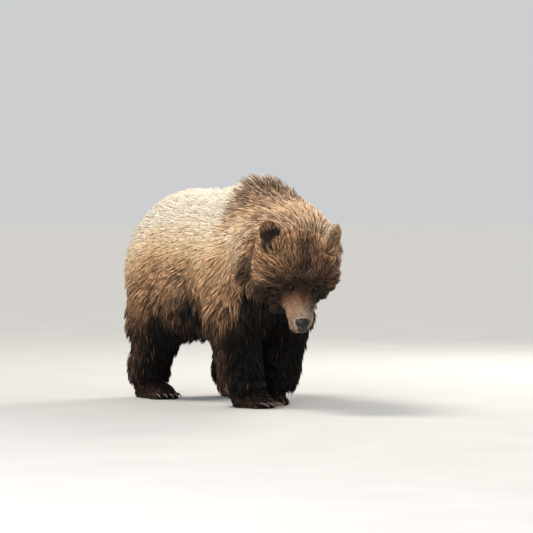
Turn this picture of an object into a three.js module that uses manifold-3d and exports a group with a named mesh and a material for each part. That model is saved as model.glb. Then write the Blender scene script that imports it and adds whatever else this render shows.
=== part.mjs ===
// A young grizzly bear, life size, standing on four feet with its head lowered and turned to its right.
// Millimetres, +Z up. The bear faces -Y and its left side is +X. The solids reach to the tips of the coat.
import * as THREE from "three";
import { mergeVertices } from "three/addons/utils/BufferGeometryUtils.js";
import Module from "manifold-3d";

const wasm = await Module();
wasm.setup();

// ---------- Driving dimensions ----------

const GAP = 0.4; // between neighbouring solids
const MERGE = 0.01;
const FAR = 4000; // longer than the animal, for the blocks that cut it
const SOLE_DEPTH = 7; // how much of each rounded pad the floor cuts away
const LEFT = 1;
const RIGHT = -1;

// The head is turned about the middle between its eyes.
const EYES_AT = [-130, -835, 520];
const HEAD_DOWN_DEG = 55;
const HEAD_TO_RIGHT_DEG = 26;
const HEAD_TILT_DEG = 2.5; // its chin towards its right

const EYE = { radius: 12.5, side: 51, back: 0, up: 0 };
const SOCKET = { wide: 20, deep: 15, tall: 15, side: 55, back: -12, up: 2 };
const EAR = { back: 181, up: 118, wide: 49, long: 60, thick: 20 };
// Each ear's distance from the middle, how far its tip leans outwards, and the way its hollow faces: [outwards,
// forwards, up] along the head.
const EARS = [
  { tag: "l", side: LEFT, out: 116, lean: 0.2, faces: [0.66, 0.45, 0.55] },
  { tag: "r", side: RIGHT, out: 144, lean: 0.35, faces: [0.2, 0.58, 0.79] },
];
const CLAW = { sides: 5, rings: 3, foreLong: 62, hindLong: 42, thick: 7.5 };

// The spacing of the grid that each part is meshed on.
const CELL = {
  trunk: [82, 92, 76],
  neck: [64, 64, 64],
  skull: [38, 38, 38],
  muzzle: [22, 22, 22],
  jaw: [27, 27, 27],
  nose: [12, 12, 12],
  ear: [17, 17, 17],
  legUpper: [64, 62, 66],
  legLower: [54, 57, 66],
  paw: [46, 48, 40],
  tail: [34, 34, 34],
};

// Each leg: its joints at [x, y, z], the radius of the furred limb at each, and the paw's place and heading.
const LEGS = [
  {
    name: "foreleg_r",
    side: RIGHT,
    joints: [[-160, -245, 600], [-158, -285, 385], [-120, -306, 140]],
    radii: [158, 120, 102],
    paw: [-104, -366, 0],
    toeInDeg: 26,
  },
  {
    name: "foreleg_l",
    side: LEFT,
    joints: [[160, -240, 600], [168, -208, 385], [114, -202, 156]],
    radii: [158, 114, 104],
    paw: [62, -228, 0],
    toeInDeg: 14,
  },
  {
    name: "hindleg_r",
    side: RIGHT,
    joints: [[-132, 352, 560], [-168, 302, 372], [-174, 438, 150]],
    radii: [168, 128, 94],
    paw: [-172, 384, 0],
    toeInDeg: 4,
  },
  {
    name: "hindleg_l",
    side: LEFT,
    joints: [[132, 340, 560], [170, 222, 388], [184, 322, 150]],
    radii: [168, 120, 90],
    paw: [188, 262, 0],
    toeInDeg: 2,
  },
];
const FORE_CUTS = { high: 385, low: 104 };
const HIND_CUTS = { high: 330, low: 112 };
const isFore = (leg) => leg.name.startsWith("fore");

// ---------- Round masses, as signed distances in millimetres ----------

const vec = ([x, y, z]) => new THREE.Vector3(x, y, z);
const work = new THREE.Vector3();

function ellipsoid(centre, radii) {
  const [cx, cy, cz] = centre;
  const [rx, ry, rz] = radii;
  return ({ x, y, z }) => {
    const a = (x - cx) / rx;
    const b = (y - cy) / ry;
    const c = (z - cz) / rz;
    const out = Math.hypot(a, b, c);
    const slope = Math.hypot(a / rx, b / ry, c / rz);
    return slope < 1e-9 ? -Math.min(rx, ry, rz) : (out * (out - 1)) / slope;
  };
}

// A limb tapers from one joint's radius to the next. flat squeezes its height, for a muzzle or a paw.
function limb(from, to, radiusFrom, radiusTo, flat = 1) {
  const [ax, ay, az] = from;
  const along = vec(to).sub(vec(from));
  const lengthSq = along.lengthSq();
  return ({ x, y, z }) => {
    work.set(x - ax, y - ay, z - az);
    const t = THREE.MathUtils.clamp(work.dot(along) / lengthSq, 0, 1);
    work.addScaledVector(along, -t);
    work.z /= flat;
    return work.length() - THREE.MathUtils.lerp(radiusFrom, radiusTo, t);
  };
}

// Masses that flow into each other over a distance of about soft.
function blend(soft, ...masses) {
  return (p) => {
    let d = masses[0](p);
    for (let i = 1; i < masses.length; i++) {
      const e = masses[i](p);
      const h = Math.max(soft - Math.abs(d - e), 0) / soft;
      d = Math.min(d, e) - (h * h * soft) / 4;
    }
    return d;
  };
}

function hollow(soft, mass, scoop) {
  return (p) => {
    const d = mass(p);
    const e = -scoop(p);
    const h = Math.max(soft - Math.abs(d - e), 0) / soft;
    return Math.max(d, e) + (h * h * soft) / 4;
  };
}

function placed(matrix, mass) {
  const inverse = matrix.clone().invert();
  const local = new THREE.Vector3();
  return (p) => mass(local.copy(p).applyMatrix4(inverse));
}

function frameAt(position, pitchDeg, rollDeg, yawDeg) {
  const turn = new THREE.Euler(
    THREE.MathUtils.degToRad(pitchDeg),
    THREE.MathUtils.degToRad(rollDeg),
    THREE.MathUtils.degToRad(yawDeg),
    "ZYX",
  );
  return new THREE.Matrix4().makeRotationFromEuler(turn).setPosition(vec(position));
}

const HEAD_FRAME = frameAt(EYES_AT, HEAD_DOWN_DEG, HEAD_TILT_DEG, -HEAD_TO_RIGHT_DEG);
const WORLD = new THREE.Matrix4();

// ---------- The animal's masses ----------

function trunkMass() {
  const rump = ellipsoid([0, 350, 612], [280, 298, 314]);
  const belly = ellipsoid([0, 60, 568], [283, 400, 312]);
  const chest = ellipsoid([0, -230, 615], [262, 285, 285]);
  const back = limb([0, 250, 745], [0, -60, 745], 172, 168);
  const hump = ellipsoid([0, -262, 772], [165, 210, 222]);
  return blend(90, rump, belly, chest, back, hump);
}

function neckMass() {
  const nape = limb([0, -380, 690], [-72, -650, 658], 238, 215);
  const throat = limb([-20, -440, 560], [-92, -650, 545], 190, 165);
  return blend(70, nape, throat);
}

// In the head's own frame: x to its left, y to its back, z up from the middle between the eyes.
function skullMass() {
  const cranium = ellipsoid([0, 118, 18], [138, 128, 112]);
  const forehead = ellipsoid([0, 44, 6], [64, 56, 48]);
  const cheek = (side) => ellipsoid([side * 78, 116, -58], [88, 98, 92]);
  const brow = (side) => limb([side * 30, 26, 16], [side * 72, 58, 28], 24, 36);
  return blend(26, cranium, forehead, cheek(LEFT), cheek(RIGHT), brow(LEFT), brow(RIGHT));
}

// The lips and the chin hang a little towards its right, where the head is turned.
function muzzleMass() {
  const bridge = limb([0, 40, -34], [0, -120, -46], 50, 40, 0.9);
  const lips = limb([-15, 20, -76], [-10, -104, -80], 80, 59, 0.75);
  const chin = limb([-12, 60, -108], [-8, -114, -110], 68, 39, 0.8);
  return blend(16, bridge, lips, chin);
}

const faceMass = () => blend(24, skullMass(), muzzleMass());

function earFrame({ side, out, lean, faces }) {
  const up = new THREE.Vector3(side * lean, 0.75, 0.55).normalize();
  const front = new THREE.Vector3(side * faces[0], -faces[1], faces[2]);
  front.addScaledVector(up, -front.dot(up)).normalize();
  const back = front.clone().negate();
  const across = new THREE.Vector3().crossVectors(back, up);
  return new THREE.Matrix4().makeBasis(across, back, up).setPosition(side * out, EAR.back, EAR.up);
}

// In the ear's own frame: z towards its tip, and its hollow faces -y.
function earMass() {
  const shell = ellipsoid([0, 0, 0], [EAR.wide, EAR.thick, EAR.long]);
  const root = limb([0, 2, -10], [0, 4, -58], 26, 34);
  const bowl = ellipsoid([0, -EAR.thick - 3, 6], [EAR.wide * 0.7, EAR.thick, EAR.long * 0.68]);
  return hollow(6, blend(14, shell, root), bowl);
}

const pawFrame = (leg) => frameAt(leg.paw, 0, 0, -leg.side * leg.toeInDeg);

// In the paw's own frame: the sole is at z = 0 and the toes are towards -y.
const TOES = [-2, -1, 0, 1, 2];
const TOE = { wide: 17, long: 36, tall: 23, apart: 27 };
const toeAt = (fore, i) => [i * TOE.apart, (fore ? -72 : -94) + i * i * 4.5, TOE.tall - SOLE_DEPTH];

function padMass(fore) {
  return fore
    ? limb([0, 38, 44 - SOLE_DEPTH], [0, -34, 38 - SOLE_DEPTH], 62, 66, 0.72)
    : limb([0, 92, 42 - SOLE_DEPTH], [0, -56, 36 - SOLE_DEPTH], 50, 66, 0.72);
}

function legMass(leg) {
  const [top, middle, bottom] = leg.joints;
  const [px, py] = leg.paw;
  const ankle = [px, py + (isFore(leg) ? 22 : 46), 50];
  const upper = limb(top, middle, leg.radii[0], leg.radii[1]);
  const ham = limb([top[0], top[1] + 66, top[2]], [middle[0], top[1] + 92, middle[2] + 4], 150, 118);
  const lower = limb(middle, bottom, leg.radii[1], leg.radii[2]);
  const pastern = limb(bottom, ankle, leg.radii[2], 60);
  const foot = blend(30, pastern, placed(pawFrame(leg), padMass(isFore(leg))));
  const shaft = blend(24, upper, lower);
  return blend(36, isFore(leg) ? shaft : blend(60, shaft, ham), foot);
}

const tailMass = () => limb([0, 604, 722], [0, 640, 610], 40, 30);

const trunk = trunkMass();
const legs = LEGS.map((leg) => legMass(leg));
const face = placed(HEAD_FRAME, faceMass());
const neck = neckMass();
const join = (limbs) => blend(30, blend(70, blend(60, trunk, limbs), neck), face);
const flesh = join((p) => Math.min(...legs.map((leg) => leg(p))));

// ---------- From a mass to a closed mesh ----------

const CORNERS = [0, 1, 2, 3, 4, 5, 6, 7].map((c) => [c & 1, (c >> 1) & 1, c >> 2]);
const EDGES = [];
for (let a = 0; a < 8; a++) for (const step of [1, 2, 4]) if (!(a & step)) EDGES.push([a, a | step]);

// One vertex for each cell of the grid that the surface crosses, moved onto the surface, and a quad across
// each grid edge that it crosses. The grid's outermost points count as outside, so that the mesh closes.
function polygonise(mass, low, high, cell) {
  const count = low.map((l, i) => Math.ceil((high[i] - l) / cell[i]) + 1);
  const index = (i, j, k) => i + count[0] * (j + count[1] * k);
  const values = new Float64Array(count[0] * count[1] * count[2]);
  const p = new THREE.Vector3();
  const isBorder = (i, axis) => i === 0 || i === count[axis] - 1;
  const limit = Math.min(...cell) * 0.3;
  for (let k = 0; k < count[2]; k++)
    for (let j = 0; j < count[1]; j++)
      for (let i = 0; i < count[0]; i++) {
        const v = mass(p.set(low[0] + i * cell[0], low[1] + j * cell[1], low[2] + k * cell[2]));
        const border = isBorder(i, 0) || isBorder(j, 1) || isBorder(k, 2);
        values[index(i, j, k)] = border ? Math.max(v, limit) : v || 1e-6;
      }

  const vertexOf = new Int32Array(values.length).fill(-1);
  const positions = [];
  const slope = new THREE.Vector3();
  const toSurface = (point) => {
    const d = mass(point);
    const h = 0.5;
    slope.set(
      mass(p.copy(point).setX(point.x + h)) - d,
      mass(p.copy(point).setY(point.y + h)) - d,
      mass(p.copy(point).setZ(point.z + h)) - d,
    );
    slope.divideScalar(h);
    const shift = THREE.MathUtils.clamp(d / Math.max(slope.lengthSq(), 0.2), -limit * 2, limit * 2);
    point.addScaledVector(slope, -shift);
  };
  for (let k = 0; k < count[2] - 1; k++)
    for (let j = 0; j < count[1] - 1; j++)
      for (let i = 0; i < count[0] - 1; i++) {
        const at = CORNERS.map(([a, b, c]) => values[index(i + a, j + b, k + c)]);
        const crossed = EDGES.filter(([a, b]) => at[a] < 0 !== at[b] < 0);
        if (!crossed.length) continue;
        const sum = new THREE.Vector3();
        for (const [a, b] of crossed) {
          const t = at[a] / (at[a] - at[b]);
          sum.add(vec(CORNERS[a].map((c, n) => c + (CORNERS[b][n] - c) * t)));
        }
        sum.divideScalar(crossed.length);
        const point = new THREE.Vector3(
          low[0] + (i + sum.x) * cell[0],
          low[1] + (j + sum.y) * cell[1],
          low[2] + (k + sum.z) * cell[2],
        );
        const inner = [i, j, k].every((n, axis) => n > 0 && n < count[axis] - 2);
        if (inner) for (let pass = 0; pass < 3; pass++) toSurface(point);
        vertexOf[index(i, j, k)] = positions.length / 3;
        positions.push(point.x, point.y, point.z);
      }

  const triangles = [];
  const corner = (n) => new THREE.Vector3().fromArray(positions, 3 * n);
  const addQuad = (a, b, c, d) => {
    const short = corner(a).distanceTo(corner(c)) <= corner(b).distanceTo(corner(d));
    if (short) triangles.push(a, b, c, a, c, d);
    else triangles.push(a, b, d, b, c, d);
  };
  for (let k = 0; k < count[2] - 1; k++)
    for (let j = 0; j < count[1] - 1; j++)
      for (let i = 0; i < count[0] - 1; i++) {
        const inside = values[index(i, j, k)] < 0;
        const around = [
          [[i + 1, j, k], [[i, j - 1, k - 1], [i, j, k - 1], [i, j, k], [i, j - 1, k]]],
          [[i, j + 1, k], [[i - 1, j, k - 1], [i - 1, j, k], [i, j, k], [i, j, k - 1]]],
          [[i, j, k + 1], [[i - 1, j - 1, k], [i, j - 1, k], [i, j, k], [i - 1, j, k]]],
        ];
        for (const [next, cells] of around) {
          if (inside === values[index(...next)] < 0) continue;
          const quad = cells.map((c) => vertexOf[index(...c)]);
          addQuad(...(inside ? quad : quad.reverse()));
        }
      }

  return new THREE.BufferGeometry()
    .setAttribute("position", new THREE.Float32BufferAttribute(positions, 3))
    .setIndex(triangles);
}

// ---------- Solids ----------

function solidOf(geometry) {
  const bare = geometry.clone();
  bare.deleteAttribute("normal");
  bare.deleteAttribute("uv");
  const merged = mergeVertices(bare, 1e-4);
  return new wasm.Manifold(
    new wasm.Mesh({
      numProp: 3,
      vertProperties: new Float32Array(merged.attributes.position.array),
      triVerts: new Uint32Array(merged.index.array),
    }),
  );
}

// The largest body of a solid. Points closer together than MERGE become one.
function geometryOf(solid) {
  const largest = solid.decompose().reduce((a, b) => (a.volume() > b.volume() ? a : b));
  const { numProp, vertProperties, triVerts } = largest.getMesh();
  const positions = [];
  for (let i = 0; i < vertProperties.length; i += numProp)
    positions.push(...vertProperties.subarray(i, i + 3));
  const raw = new THREE.BufferGeometry()
    .setAttribute("position", new THREE.Float32BufferAttribute(positions, 3))
    .setIndex([...triVerts]);
  const merged = mergeVertices(raw, MERGE);
  const kept = [];
  for (let i = 0; i < merged.index.count; i += 3) {
    const [a, b, c] = merged.index.array.subarray(i, i + 3);
    if (a !== b && b !== c && c !== a) kept.push(a, b, c);
  }
  return merged.setIndex(kept);
}

const grown = (mass) => (p) => mass(p) - GAP;

// A mass given in the part's frame, meshed in the frame of the group that will hold it.
function carve(frame, mass, low, high, cell) {
  const world = new THREE.Vector3();
  const local = (p) => mass(world.copy(p).applyMatrix4(frame));
  return solidOf(polygonise(local, low, high, cell));
}

// All that lies on the side of a plane that its normal points to.
function halfSpace(point, normal) {
  const direction = vec(normal).normalize();
  const block = new THREE.BoxGeometry(FAR, FAR, FAR);
  const turn = new THREE.Quaternion().setFromUnitVectors(new THREE.Vector3(0, 0, 1), direction);
  const centre = vec(point).addScaledVector(direction, FAR / 2);
  block.applyMatrix4(new THREE.Matrix4().compose(centre, turn, new THREE.Vector3(1, 1, 1)));
  return solidOf(block);
}

// A region is a list of [point, normal]. It grows by grow on every side.
function region(planes, grow = 0) {
  return planes
    .map(([point, normal]) => {
      const direction = vec(normal).normalize();
      return halfSpace(vec(point).addScaledVector(direction, -grow).toArray(), normal);
    })
    .reduce((a, b) => a.intersect(b));
}

const toFrame = (frame, [point, normal]) => {
  const inverse = frame.clone().invert();
  return [
    vec(point).applyMatrix4(inverse).toArray(),
    vec(normal).transformDirection(inverse).toArray(),
  ];
};
const opposite = ([point, normal]) => [point, normal.map((n) => -n)];

// ---------- Where the parts meet ----------

const FLOOR = [[0, 0, 0], [0, 0, 1]];
const NECK_BASE = [[0, -478, 700], [-0.25, -0.96, -0.06]];
const NAPE_CUT = [[0, 196, 0], [0, -1, 0.08]]; // in the head's frame, behind the ears
const MUZZLE_CUT = [[0, -24, 0], [0, -1, 0]];
const MOUTH_CUT = [[0, -140, -80], [0, 0.1, -1]];
const JAW_END = [[0, 44, 0], [0, -1, 0]];

function legRegion(leg) {
  const s = leg.side;
  const inner = [[s * 3, 0, 0], [s, 0, 0]];
  if (isFore(leg))
    return [
      inner,
      [[s * 30, 0, 330], [s * 0.81, 0, -0.587]],
      [[0, -560, 0], [0, 0.95, -0.3]],
      [[0, -62, 0], [0, -1, 0]],
    ];
  const front = leg.joints[1][1] - 158;
  return [inner, [[s * 30, 0, 300], [s * 0.856, 0, -0.518]], [[0, front, 330], [0, 1, 0.05]]];
}

// ---------- Materials ----------

const finish = (color, roughness) => new THREE.MeshStandardMaterial({ color, roughness, metalness: 0 });
const coat = {
  back: finish("#cdb48c", 0.9),
  neck: finish("#a3805a", 0.9),
  head: finish("#96714c", 0.9),
  muzzle: finish("#a58266", 0.85),
  legs: finish("#573a28", 0.9),
  ears: finish("#5f4230", 0.9),
};
const noseLeather = finish("#1d1a1a", 0.35);
const eyeGloss = finish("#1b110b", 0.08);
const clawHorn = finish("#4a3a2c", 0.45);

// ---------- The tree of parts ----------

const bear = new THREE.Group();

function addPart(group, name, solid, material) {
  const mesh = new THREE.Mesh(geometryOf(solid), material);
  mesh.name = name;
  group.add(mesh);
  return mesh;
}

function groupAt(frame) {
  const group = new THREE.Group();
  frame.decompose(group.position, group.quaternion, group.scale);
  bear.add(group);
  return group;
}

const TRUNK_GRID = [[-400, -640, 120], [400, 760, 1080], CELL.trunk];

function addTrunk() {
  let solid = carve(WORLD, flesh, ...TRUNK_GRID);
  solid = solid.intersect(region([opposite(NECK_BASE)], -GAP / 2));
  for (const leg of LEGS) solid = solid.subtract(region(legRegion(leg), GAP / 2));
  addPart(bear, "trunk", solid, coat.back);
  const tail = carve(WORLD, tailMass(), [-80, 560, 540], [80, 760, 820], CELL.tail);
  const rump = carve(WORLD, grown(flesh), ...TRUNK_GRID);
  addPart(bear, "tail", tail.subtract(rump), coat.back);
}

function addNeck() {
  const nape = toFrame(HEAD_FRAME.clone().invert(), NAPE_CUT);
  const solid = carve(WORLD, flesh, [-420, -940, 260], [360, -400, 1040], CELL.neck)
    .intersect(region([NECK_BASE, opposite(nape)], -GAP / 2))
    .subtract(region(legRegion(LEGS[0]), GAP / 2))
    .subtract(region(legRegion(LEGS[1]), GAP / 2));
  addPart(bear, "neck", solid, coat.neck);
}

const eyeBall = (side, radius) =>
  new THREE.SphereGeometry(radius, 10, 6).translate(side * EYE.side, EYE.back, EYE.up);

const eyeSocket = (side) =>
  new THREE.SphereGeometry(1, 10, 6)
    .scale(SOCKET.wide, SOCKET.deep, SOCKET.tall)
    .translate(side * SOCKET.side, SOCKET.back, SOCKET.up);

const NOSE_AT = [0, -142, -50];
const opposed = (point) => point.map((n) => -n);

// In the head's own frame.
function noseMass() {
  const pad = blend(10, ellipsoid([0, -140, -40], [32, 26, 22]), ellipsoid([0, -151, -65], [19, 18, 22]));
  const nostril = (side) => limb([side * 12, -174, -50], [side * 25, -158, -45], 6.5, 4.5);
  return hollow(3, hollow(3, pad, nostril(LEFT)), nostril(RIGHT));
}

function addHead() {
  const head = groupAt(HEAD_FRAME);
  const eyeRoom = (side) => solidOf(eyeBall(side, EYE.radius + GAP)).add(solidOf(eyeSocket(side)));
  const eyes = eyeRoom(LEFT).add(eyeRoom(RIGHT));
  const noseBox = [[-50, -200, -106], [50, -100, 4], CELL.nose];
  const nose = carve(WORLD, noseMass(), ...noseBox);
  const noseRoom = solidOf(
    geometryOf(nose).translate(...opposed(NOSE_AT)).scale(1.02, 1.02, 1.02).translate(...NOSE_AT),
  );

  const skullBox = [[-220, -60, -220], [220, 260, 200], CELL.skull];
  const skullGrown = carve(HEAD_FRAME, grown(flesh), ...skullBox);
  const jawPlanes = [MOUTH_CUT, JAW_END];
  const skull = carve(HEAD_FRAME, flesh, ...skullBox)
    .intersect(region([NAPE_CUT, opposite(MUZZLE_CUT)], -GAP / 2))
    .subtract(region(jawPlanes, GAP / 2))
    .subtract(eyes);
  addPart(head, "head", skull, coat.head);

  const muzzle = carve(HEAD_FRAME, flesh, [-110, -200, -160], [110, 20, 60], CELL.muzzle)
    .intersect(region([MUZZLE_CUT, opposite(MOUTH_CUT)], -GAP / 2))
    .subtract(noseRoom)
    .subtract(eyes);
  addPart(head, "muzzle", muzzle, coat.muzzle);

  const jaw = carve(HEAD_FRAME, flesh, [-150, -170, -200], [150, 90, -20], CELL.jaw)
    .intersect(region(jawPlanes, -GAP / 2))
    .subtract(noseRoom);
  addPart(head, "jaw", jaw, coat.muzzle);
  addPart(head, "nose", nose, noseLeather);

  for (const ear of EARS) {
    const frame = earFrame(ear);
    const bowl = carve(WORLD, earMass(), [-70, -50, -80], [70, 50, 80], CELL.ear);
    const turned = solidOf(geometryOf(bowl).applyMatrix4(frame));
    addPart(head, `ear_${ear.tag}`, turned.subtract(skullGrown), coat.ears);
    const eye = new THREE.Mesh(eyeBall(ear.side, EYE.radius), eyeGloss);
    eye.name = `eye_${ear.tag}`;
    head.add(eye);
  }
}

// A closed tapering horn along a curve, in a paw's frame, ending in a point.
function clawGeometry(fore, i, grow) {
  const [x, y, z] = toeAt(fore, i);
  const long = (fore ? CLAW.foreLong : CLAW.hindLong) - Math.abs(i) * 4;
  const front = y - TOE.long;
  const curve = new THREE.QuadraticBezierCurve3(
    new THREE.Vector3(x, front + 14, z + 7),
    new THREE.Vector3(x, front - long * 0.45, z + 10),
    new THREE.Vector3(x, front - long * 0.78, 3),
  );
  const positions = [];
  const triangles = [];
  for (let r = 0; r < CLAW.rings; r++) {
    const t = r / CLAW.rings;
    const centre = curve.getPoint(t);
    const along = curve.getTangent(t);
    const over = new THREE.Vector3(0, -along.z, along.y).normalize();
    const thick = (1 - t * 0.8) * CLAW.thick + grow;
    for (let s = 0; s < CLAW.sides; s++) {
      const turn = (2 * Math.PI * s) / CLAW.sides;
      const rim = centre.clone().addScaledVector(over, Math.sin(turn) * thick);
      positions.push(rim.x + Math.cos(turn) * thick * 0.75, rim.y, rim.z);
    }
  }
  const tip = curve.getPoint(1).addScaledVector(curve.getTangent(1), grow);
  positions.push(...curve.getPoint(0).toArray(), ...tip.toArray());
  const root = CLAW.rings * CLAW.sides;
  const last = (CLAW.rings - 1) * CLAW.sides;
  for (let s = 0; s < CLAW.sides; s++) {
    const next = (s + 1) % CLAW.sides;
    for (let a = 0; a < last; a += CLAW.sides) {
      triangles.push(a + s, a + CLAW.sides + s, a + next);
      triangles.push(a + next, a + CLAW.sides + s, a + CLAW.sides + next);
    }
    triangles.push(root, s, next);
    triangles.push(last + s, root + 1, last + next);
  }
  return new THREE.BufferGeometry()
    .setAttribute("position", new THREE.Float32BufferAttribute(positions, 3))
    .setIndex(triangles);
}

function addLeg(leg, mass) {
  const fore = isFore(leg);
  const planes = legRegion(leg);
  const { high: highCut, low: lowCut } = fore ? FORE_CUTS : HIND_CUTS;
  const cutAt = (z) => [[0, 0, z], [0, 0, 1]];
  const [left, right] = leg.side === LEFT ? [-60, 480] : [-480, 60];
  const [front, back] = fore ? [-700, 0] : [-40, 760];

  const upper = carve(WORLD, join(mass), [left, front, 260], [right, back, 860], CELL.legUpper);
  const upperPlanes = [...planes, cutAt(highCut)];
  addPart(bear, `${leg.name}_upper`, upper.intersect(region(upperPlanes, -GAP / 2)), coat.back);

  const shank = carve(WORLD, join(mass), [left, front, 40], [right, back, 470], CELL.legLower);
  const shankPlanes = [...planes, opposite(cutAt(highCut)), cutAt(lowCut)];
  addPart(bear, `${leg.name}_lower`, shank.intersect(region(shankPlanes, -GAP / 2)), coat.legs);

  const frame = pawFrame(leg);
  const paw = groupAt(frame);
  let solid = carve(frame, mass, [-130, -190, -60], [130, 200, 190], CELL.paw)
    .intersect(region([opposite(cutAt(lowCut))], -GAP / 2));
  for (const i of TOES) {
    const toe = new THREE.SphereGeometry(1, 7, 5).rotateX(Math.PI / 2);
    toe.scale(TOE.wide, TOE.long, TOE.tall).translate(...toeAt(fore, i));
    solid = solid.add(solidOf(toe));
  }
  solid = solid.intersect(region([FLOOR]));
  const tag = leg.name.replace("leg", "");
  for (const i of TOES) {
    solid = solid.subtract(solidOf(clawGeometry(fore, i, GAP)));
    const claw = solidOf(clawGeometry(fore, i, 0)).intersect(region([FLOOR], -0.2));
    addPart(paw, `claw_${tag}_${i + 3}`, claw, clawHorn);
  }
  addPart(paw, `paw_${tag}`, solid, coat.legs);
}

addTrunk();
addNeck();
addHead();
LEGS.forEach((leg, n) => addLeg(leg, legs[n]));

// The origin is under the middle of the animal's box, on the floor.
bear.updateMatrixWorld(true);
const box = new THREE.Box3().setFromObject(bear, true);
const part = new THREE.Group();
bear.position.set(-(box.min.x + box.max.x) / 2, -(box.min.y + box.max.y) / 2, -box.min.z);
part.add(bear);

export default part;
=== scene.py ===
"""A young grizzly bear: one skin with its coat of tufts, its eyes, nose leather and claws."""

import math

import bpy
import numpy as np
from mathutils import Euler, Matrix, Vector
from mathutils.bvhtree import BVHTree
from mathutils.kdtree import KDTree


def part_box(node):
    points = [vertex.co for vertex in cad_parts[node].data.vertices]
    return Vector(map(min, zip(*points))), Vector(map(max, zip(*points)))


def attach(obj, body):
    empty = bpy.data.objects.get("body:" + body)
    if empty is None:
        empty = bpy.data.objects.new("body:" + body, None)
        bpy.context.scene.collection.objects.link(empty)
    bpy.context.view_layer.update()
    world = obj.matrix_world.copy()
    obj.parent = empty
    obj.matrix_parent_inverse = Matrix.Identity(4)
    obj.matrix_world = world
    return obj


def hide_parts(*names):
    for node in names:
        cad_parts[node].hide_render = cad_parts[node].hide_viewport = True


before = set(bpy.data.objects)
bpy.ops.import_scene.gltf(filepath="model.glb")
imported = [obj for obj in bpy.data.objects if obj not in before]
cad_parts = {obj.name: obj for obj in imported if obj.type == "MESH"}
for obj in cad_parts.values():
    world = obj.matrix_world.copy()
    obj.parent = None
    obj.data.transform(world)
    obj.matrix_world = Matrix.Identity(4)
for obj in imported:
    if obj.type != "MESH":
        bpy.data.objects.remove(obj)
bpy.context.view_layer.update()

bl_info = {
    "name": "Grizzly Bear",
    "version": (1, 0, 0),
    "blender": (4, 5, 0),
    "location": "View3D > Sidebar > Bear",
    "description": "A still, life-size grizzly bear with a coat of solid tufts",
    "category": "Add Mesh",
}

# ---------- Places ----------

# The head's own frame is at the middle between the eyes: x to the bear's left, y to its back, z up.
HEAD_DOWN, HEAD_TILT, HEAD_TURN = (math.radians(a) for a in (55, 2.5, -26))
NODES = sorted(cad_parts)


def middle(node):
    low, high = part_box(node)
    return (low + high) / 2


EYES_MIDDLE = (middle("eye_l") + middle("eye_r")) / 2
HEAD = Matrix.Translation(EYES_MIDDLE) @ Euler((HEAD_DOWN, HEAD_TILT, HEAD_TURN), "XYZ").to_matrix().to_4x4()
# The body's own origin is on the floor, under the line of the spine between the fore and hind legs.
BODY_ORIGIN = np.array(EYES_MIDDLE) - np.array((-0.130, -0.835, 0.520))
EYE_SIDE = (middle("eye_l") - middle("eye_r")).length / 2
FLESH = [n for n in NODES if not n.startswith(("eye_", "claw_", "nose"))]
TOES = [n for n in NODES if n.startswith("claw_")]
SIDES = (("l", 1), ("r", -1))


def in_head(points):
    """Points of the row frame in the head's own frame."""
    inverse = np.array(HEAD.inverted())
    return points @ inverse[:3, :3].T + inverse[:3, 3]


def from_head(points):
    matrix = np.array(HEAD)
    return points @ matrix[:3, :3].T + matrix[:3, 3]


def turned_in_head(vectors):
    return vectors @ np.array(HEAD)[:3, :3]


def turned_from_head(vectors):
    return vectors @ np.array(HEAD)[:3, :3].T


def paw_middle(claw):
    """The middle of the paw that a claw is on."""
    return np.array(middle(claw.replace("claw", "paw")[: -len("_1")]))


# ---------- Colours ----------


def colour(code):
    """An sRGB hex colour as linear numbers."""
    parts = [int(code[i : i + 2], 16) / 255 for i in (1, 3, 5)]
    return tuple(c / 12.92 if c <= 0.04045 else ((c + 0.055) / 1.055) ** 2.4 for c in parts)


def swatch(name, description, code):
    return bpy.props.FloatVectorProperty(
        name=name, description=description, default=colour(code), subtype="COLOR", size=3, min=0, max=1
    )


class BearColours(bpy.types.PropertyGroup):
    """The colours of the coat and of what is bare."""

    cream: swatch("Cream", "Top of the back and rump", "#fff4e0")
    straw: swatch("Straw", "Upper flank", "#f2d9b4")
    fawn: swatch("Fawn", "Flank", "#dab48b")
    tan: swatch("Tan", "Middle of the flank and shoulder", "#c0976f")
    chestnut: swatch("Chestnut", "Low on the flank", "#a67f5b")
    brown: swatch("Brown", "Edge of the belly", "#7b583f")
    umber: swatch("Umber", "Outsides of the legs", "#4a3225")
    black: swatch("Black brown", "Fronts and insides of the legs, chest and belly", "#0f0b0a")
    russet: swatch("Russet", "Tips of the hair on the legs", "#705140")
    hump: swatch("Hump", "Hump, with dark underfur", "#7f6551")
    nape: swatch("Nape", "Nape and top of the neck", "#b8936e")
    ruff: swatch("Ruff", "Sides of the neck", "#976e4d")
    gold: swatch("Gold", "Crown and cheeks", "#b99065")
    mask: swatch("Mask", "Cheeks and forehead near the eyes", "#6c4c36")
    temple: swatch("Temple", "Between the crown and the mask", "#926b4c")
    brow: swatch("Brow", "Round and between the eyes", "#38271c")
    whorl: swatch("Whorl", "Grizzled hair on the forehead", "#7d6a58")
    muzzle: swatch("Muzzle", "Bridge and sides of the muzzle", "#a08b76")
    lip: swatch("Lip", "Edge of the lips", "#bfa68c")
    ear_inside: swatch("Inside of the ear", "Hollow of the ear", "#301d13")
    ear_rim: swatch("Rim of the ear", "Fringe of the ear", "#855538")
    pad: swatch("Pad", "Soles of the feet", "#231b18")
    nose: swatch("Nose leather", "Wet nose leather", "#0c0b0b")
    iris: swatch("Iris", "Iris of the eye", "#26150c")
    horn: swatch("Horn", "Claws at the root", "#1d1612")
    horn_tip: swatch("Horn tip", "Claws at the tip", "#5d4d3e")
    floor: swatch("Floor", "Studio floor", "#b9b9b7")


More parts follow.
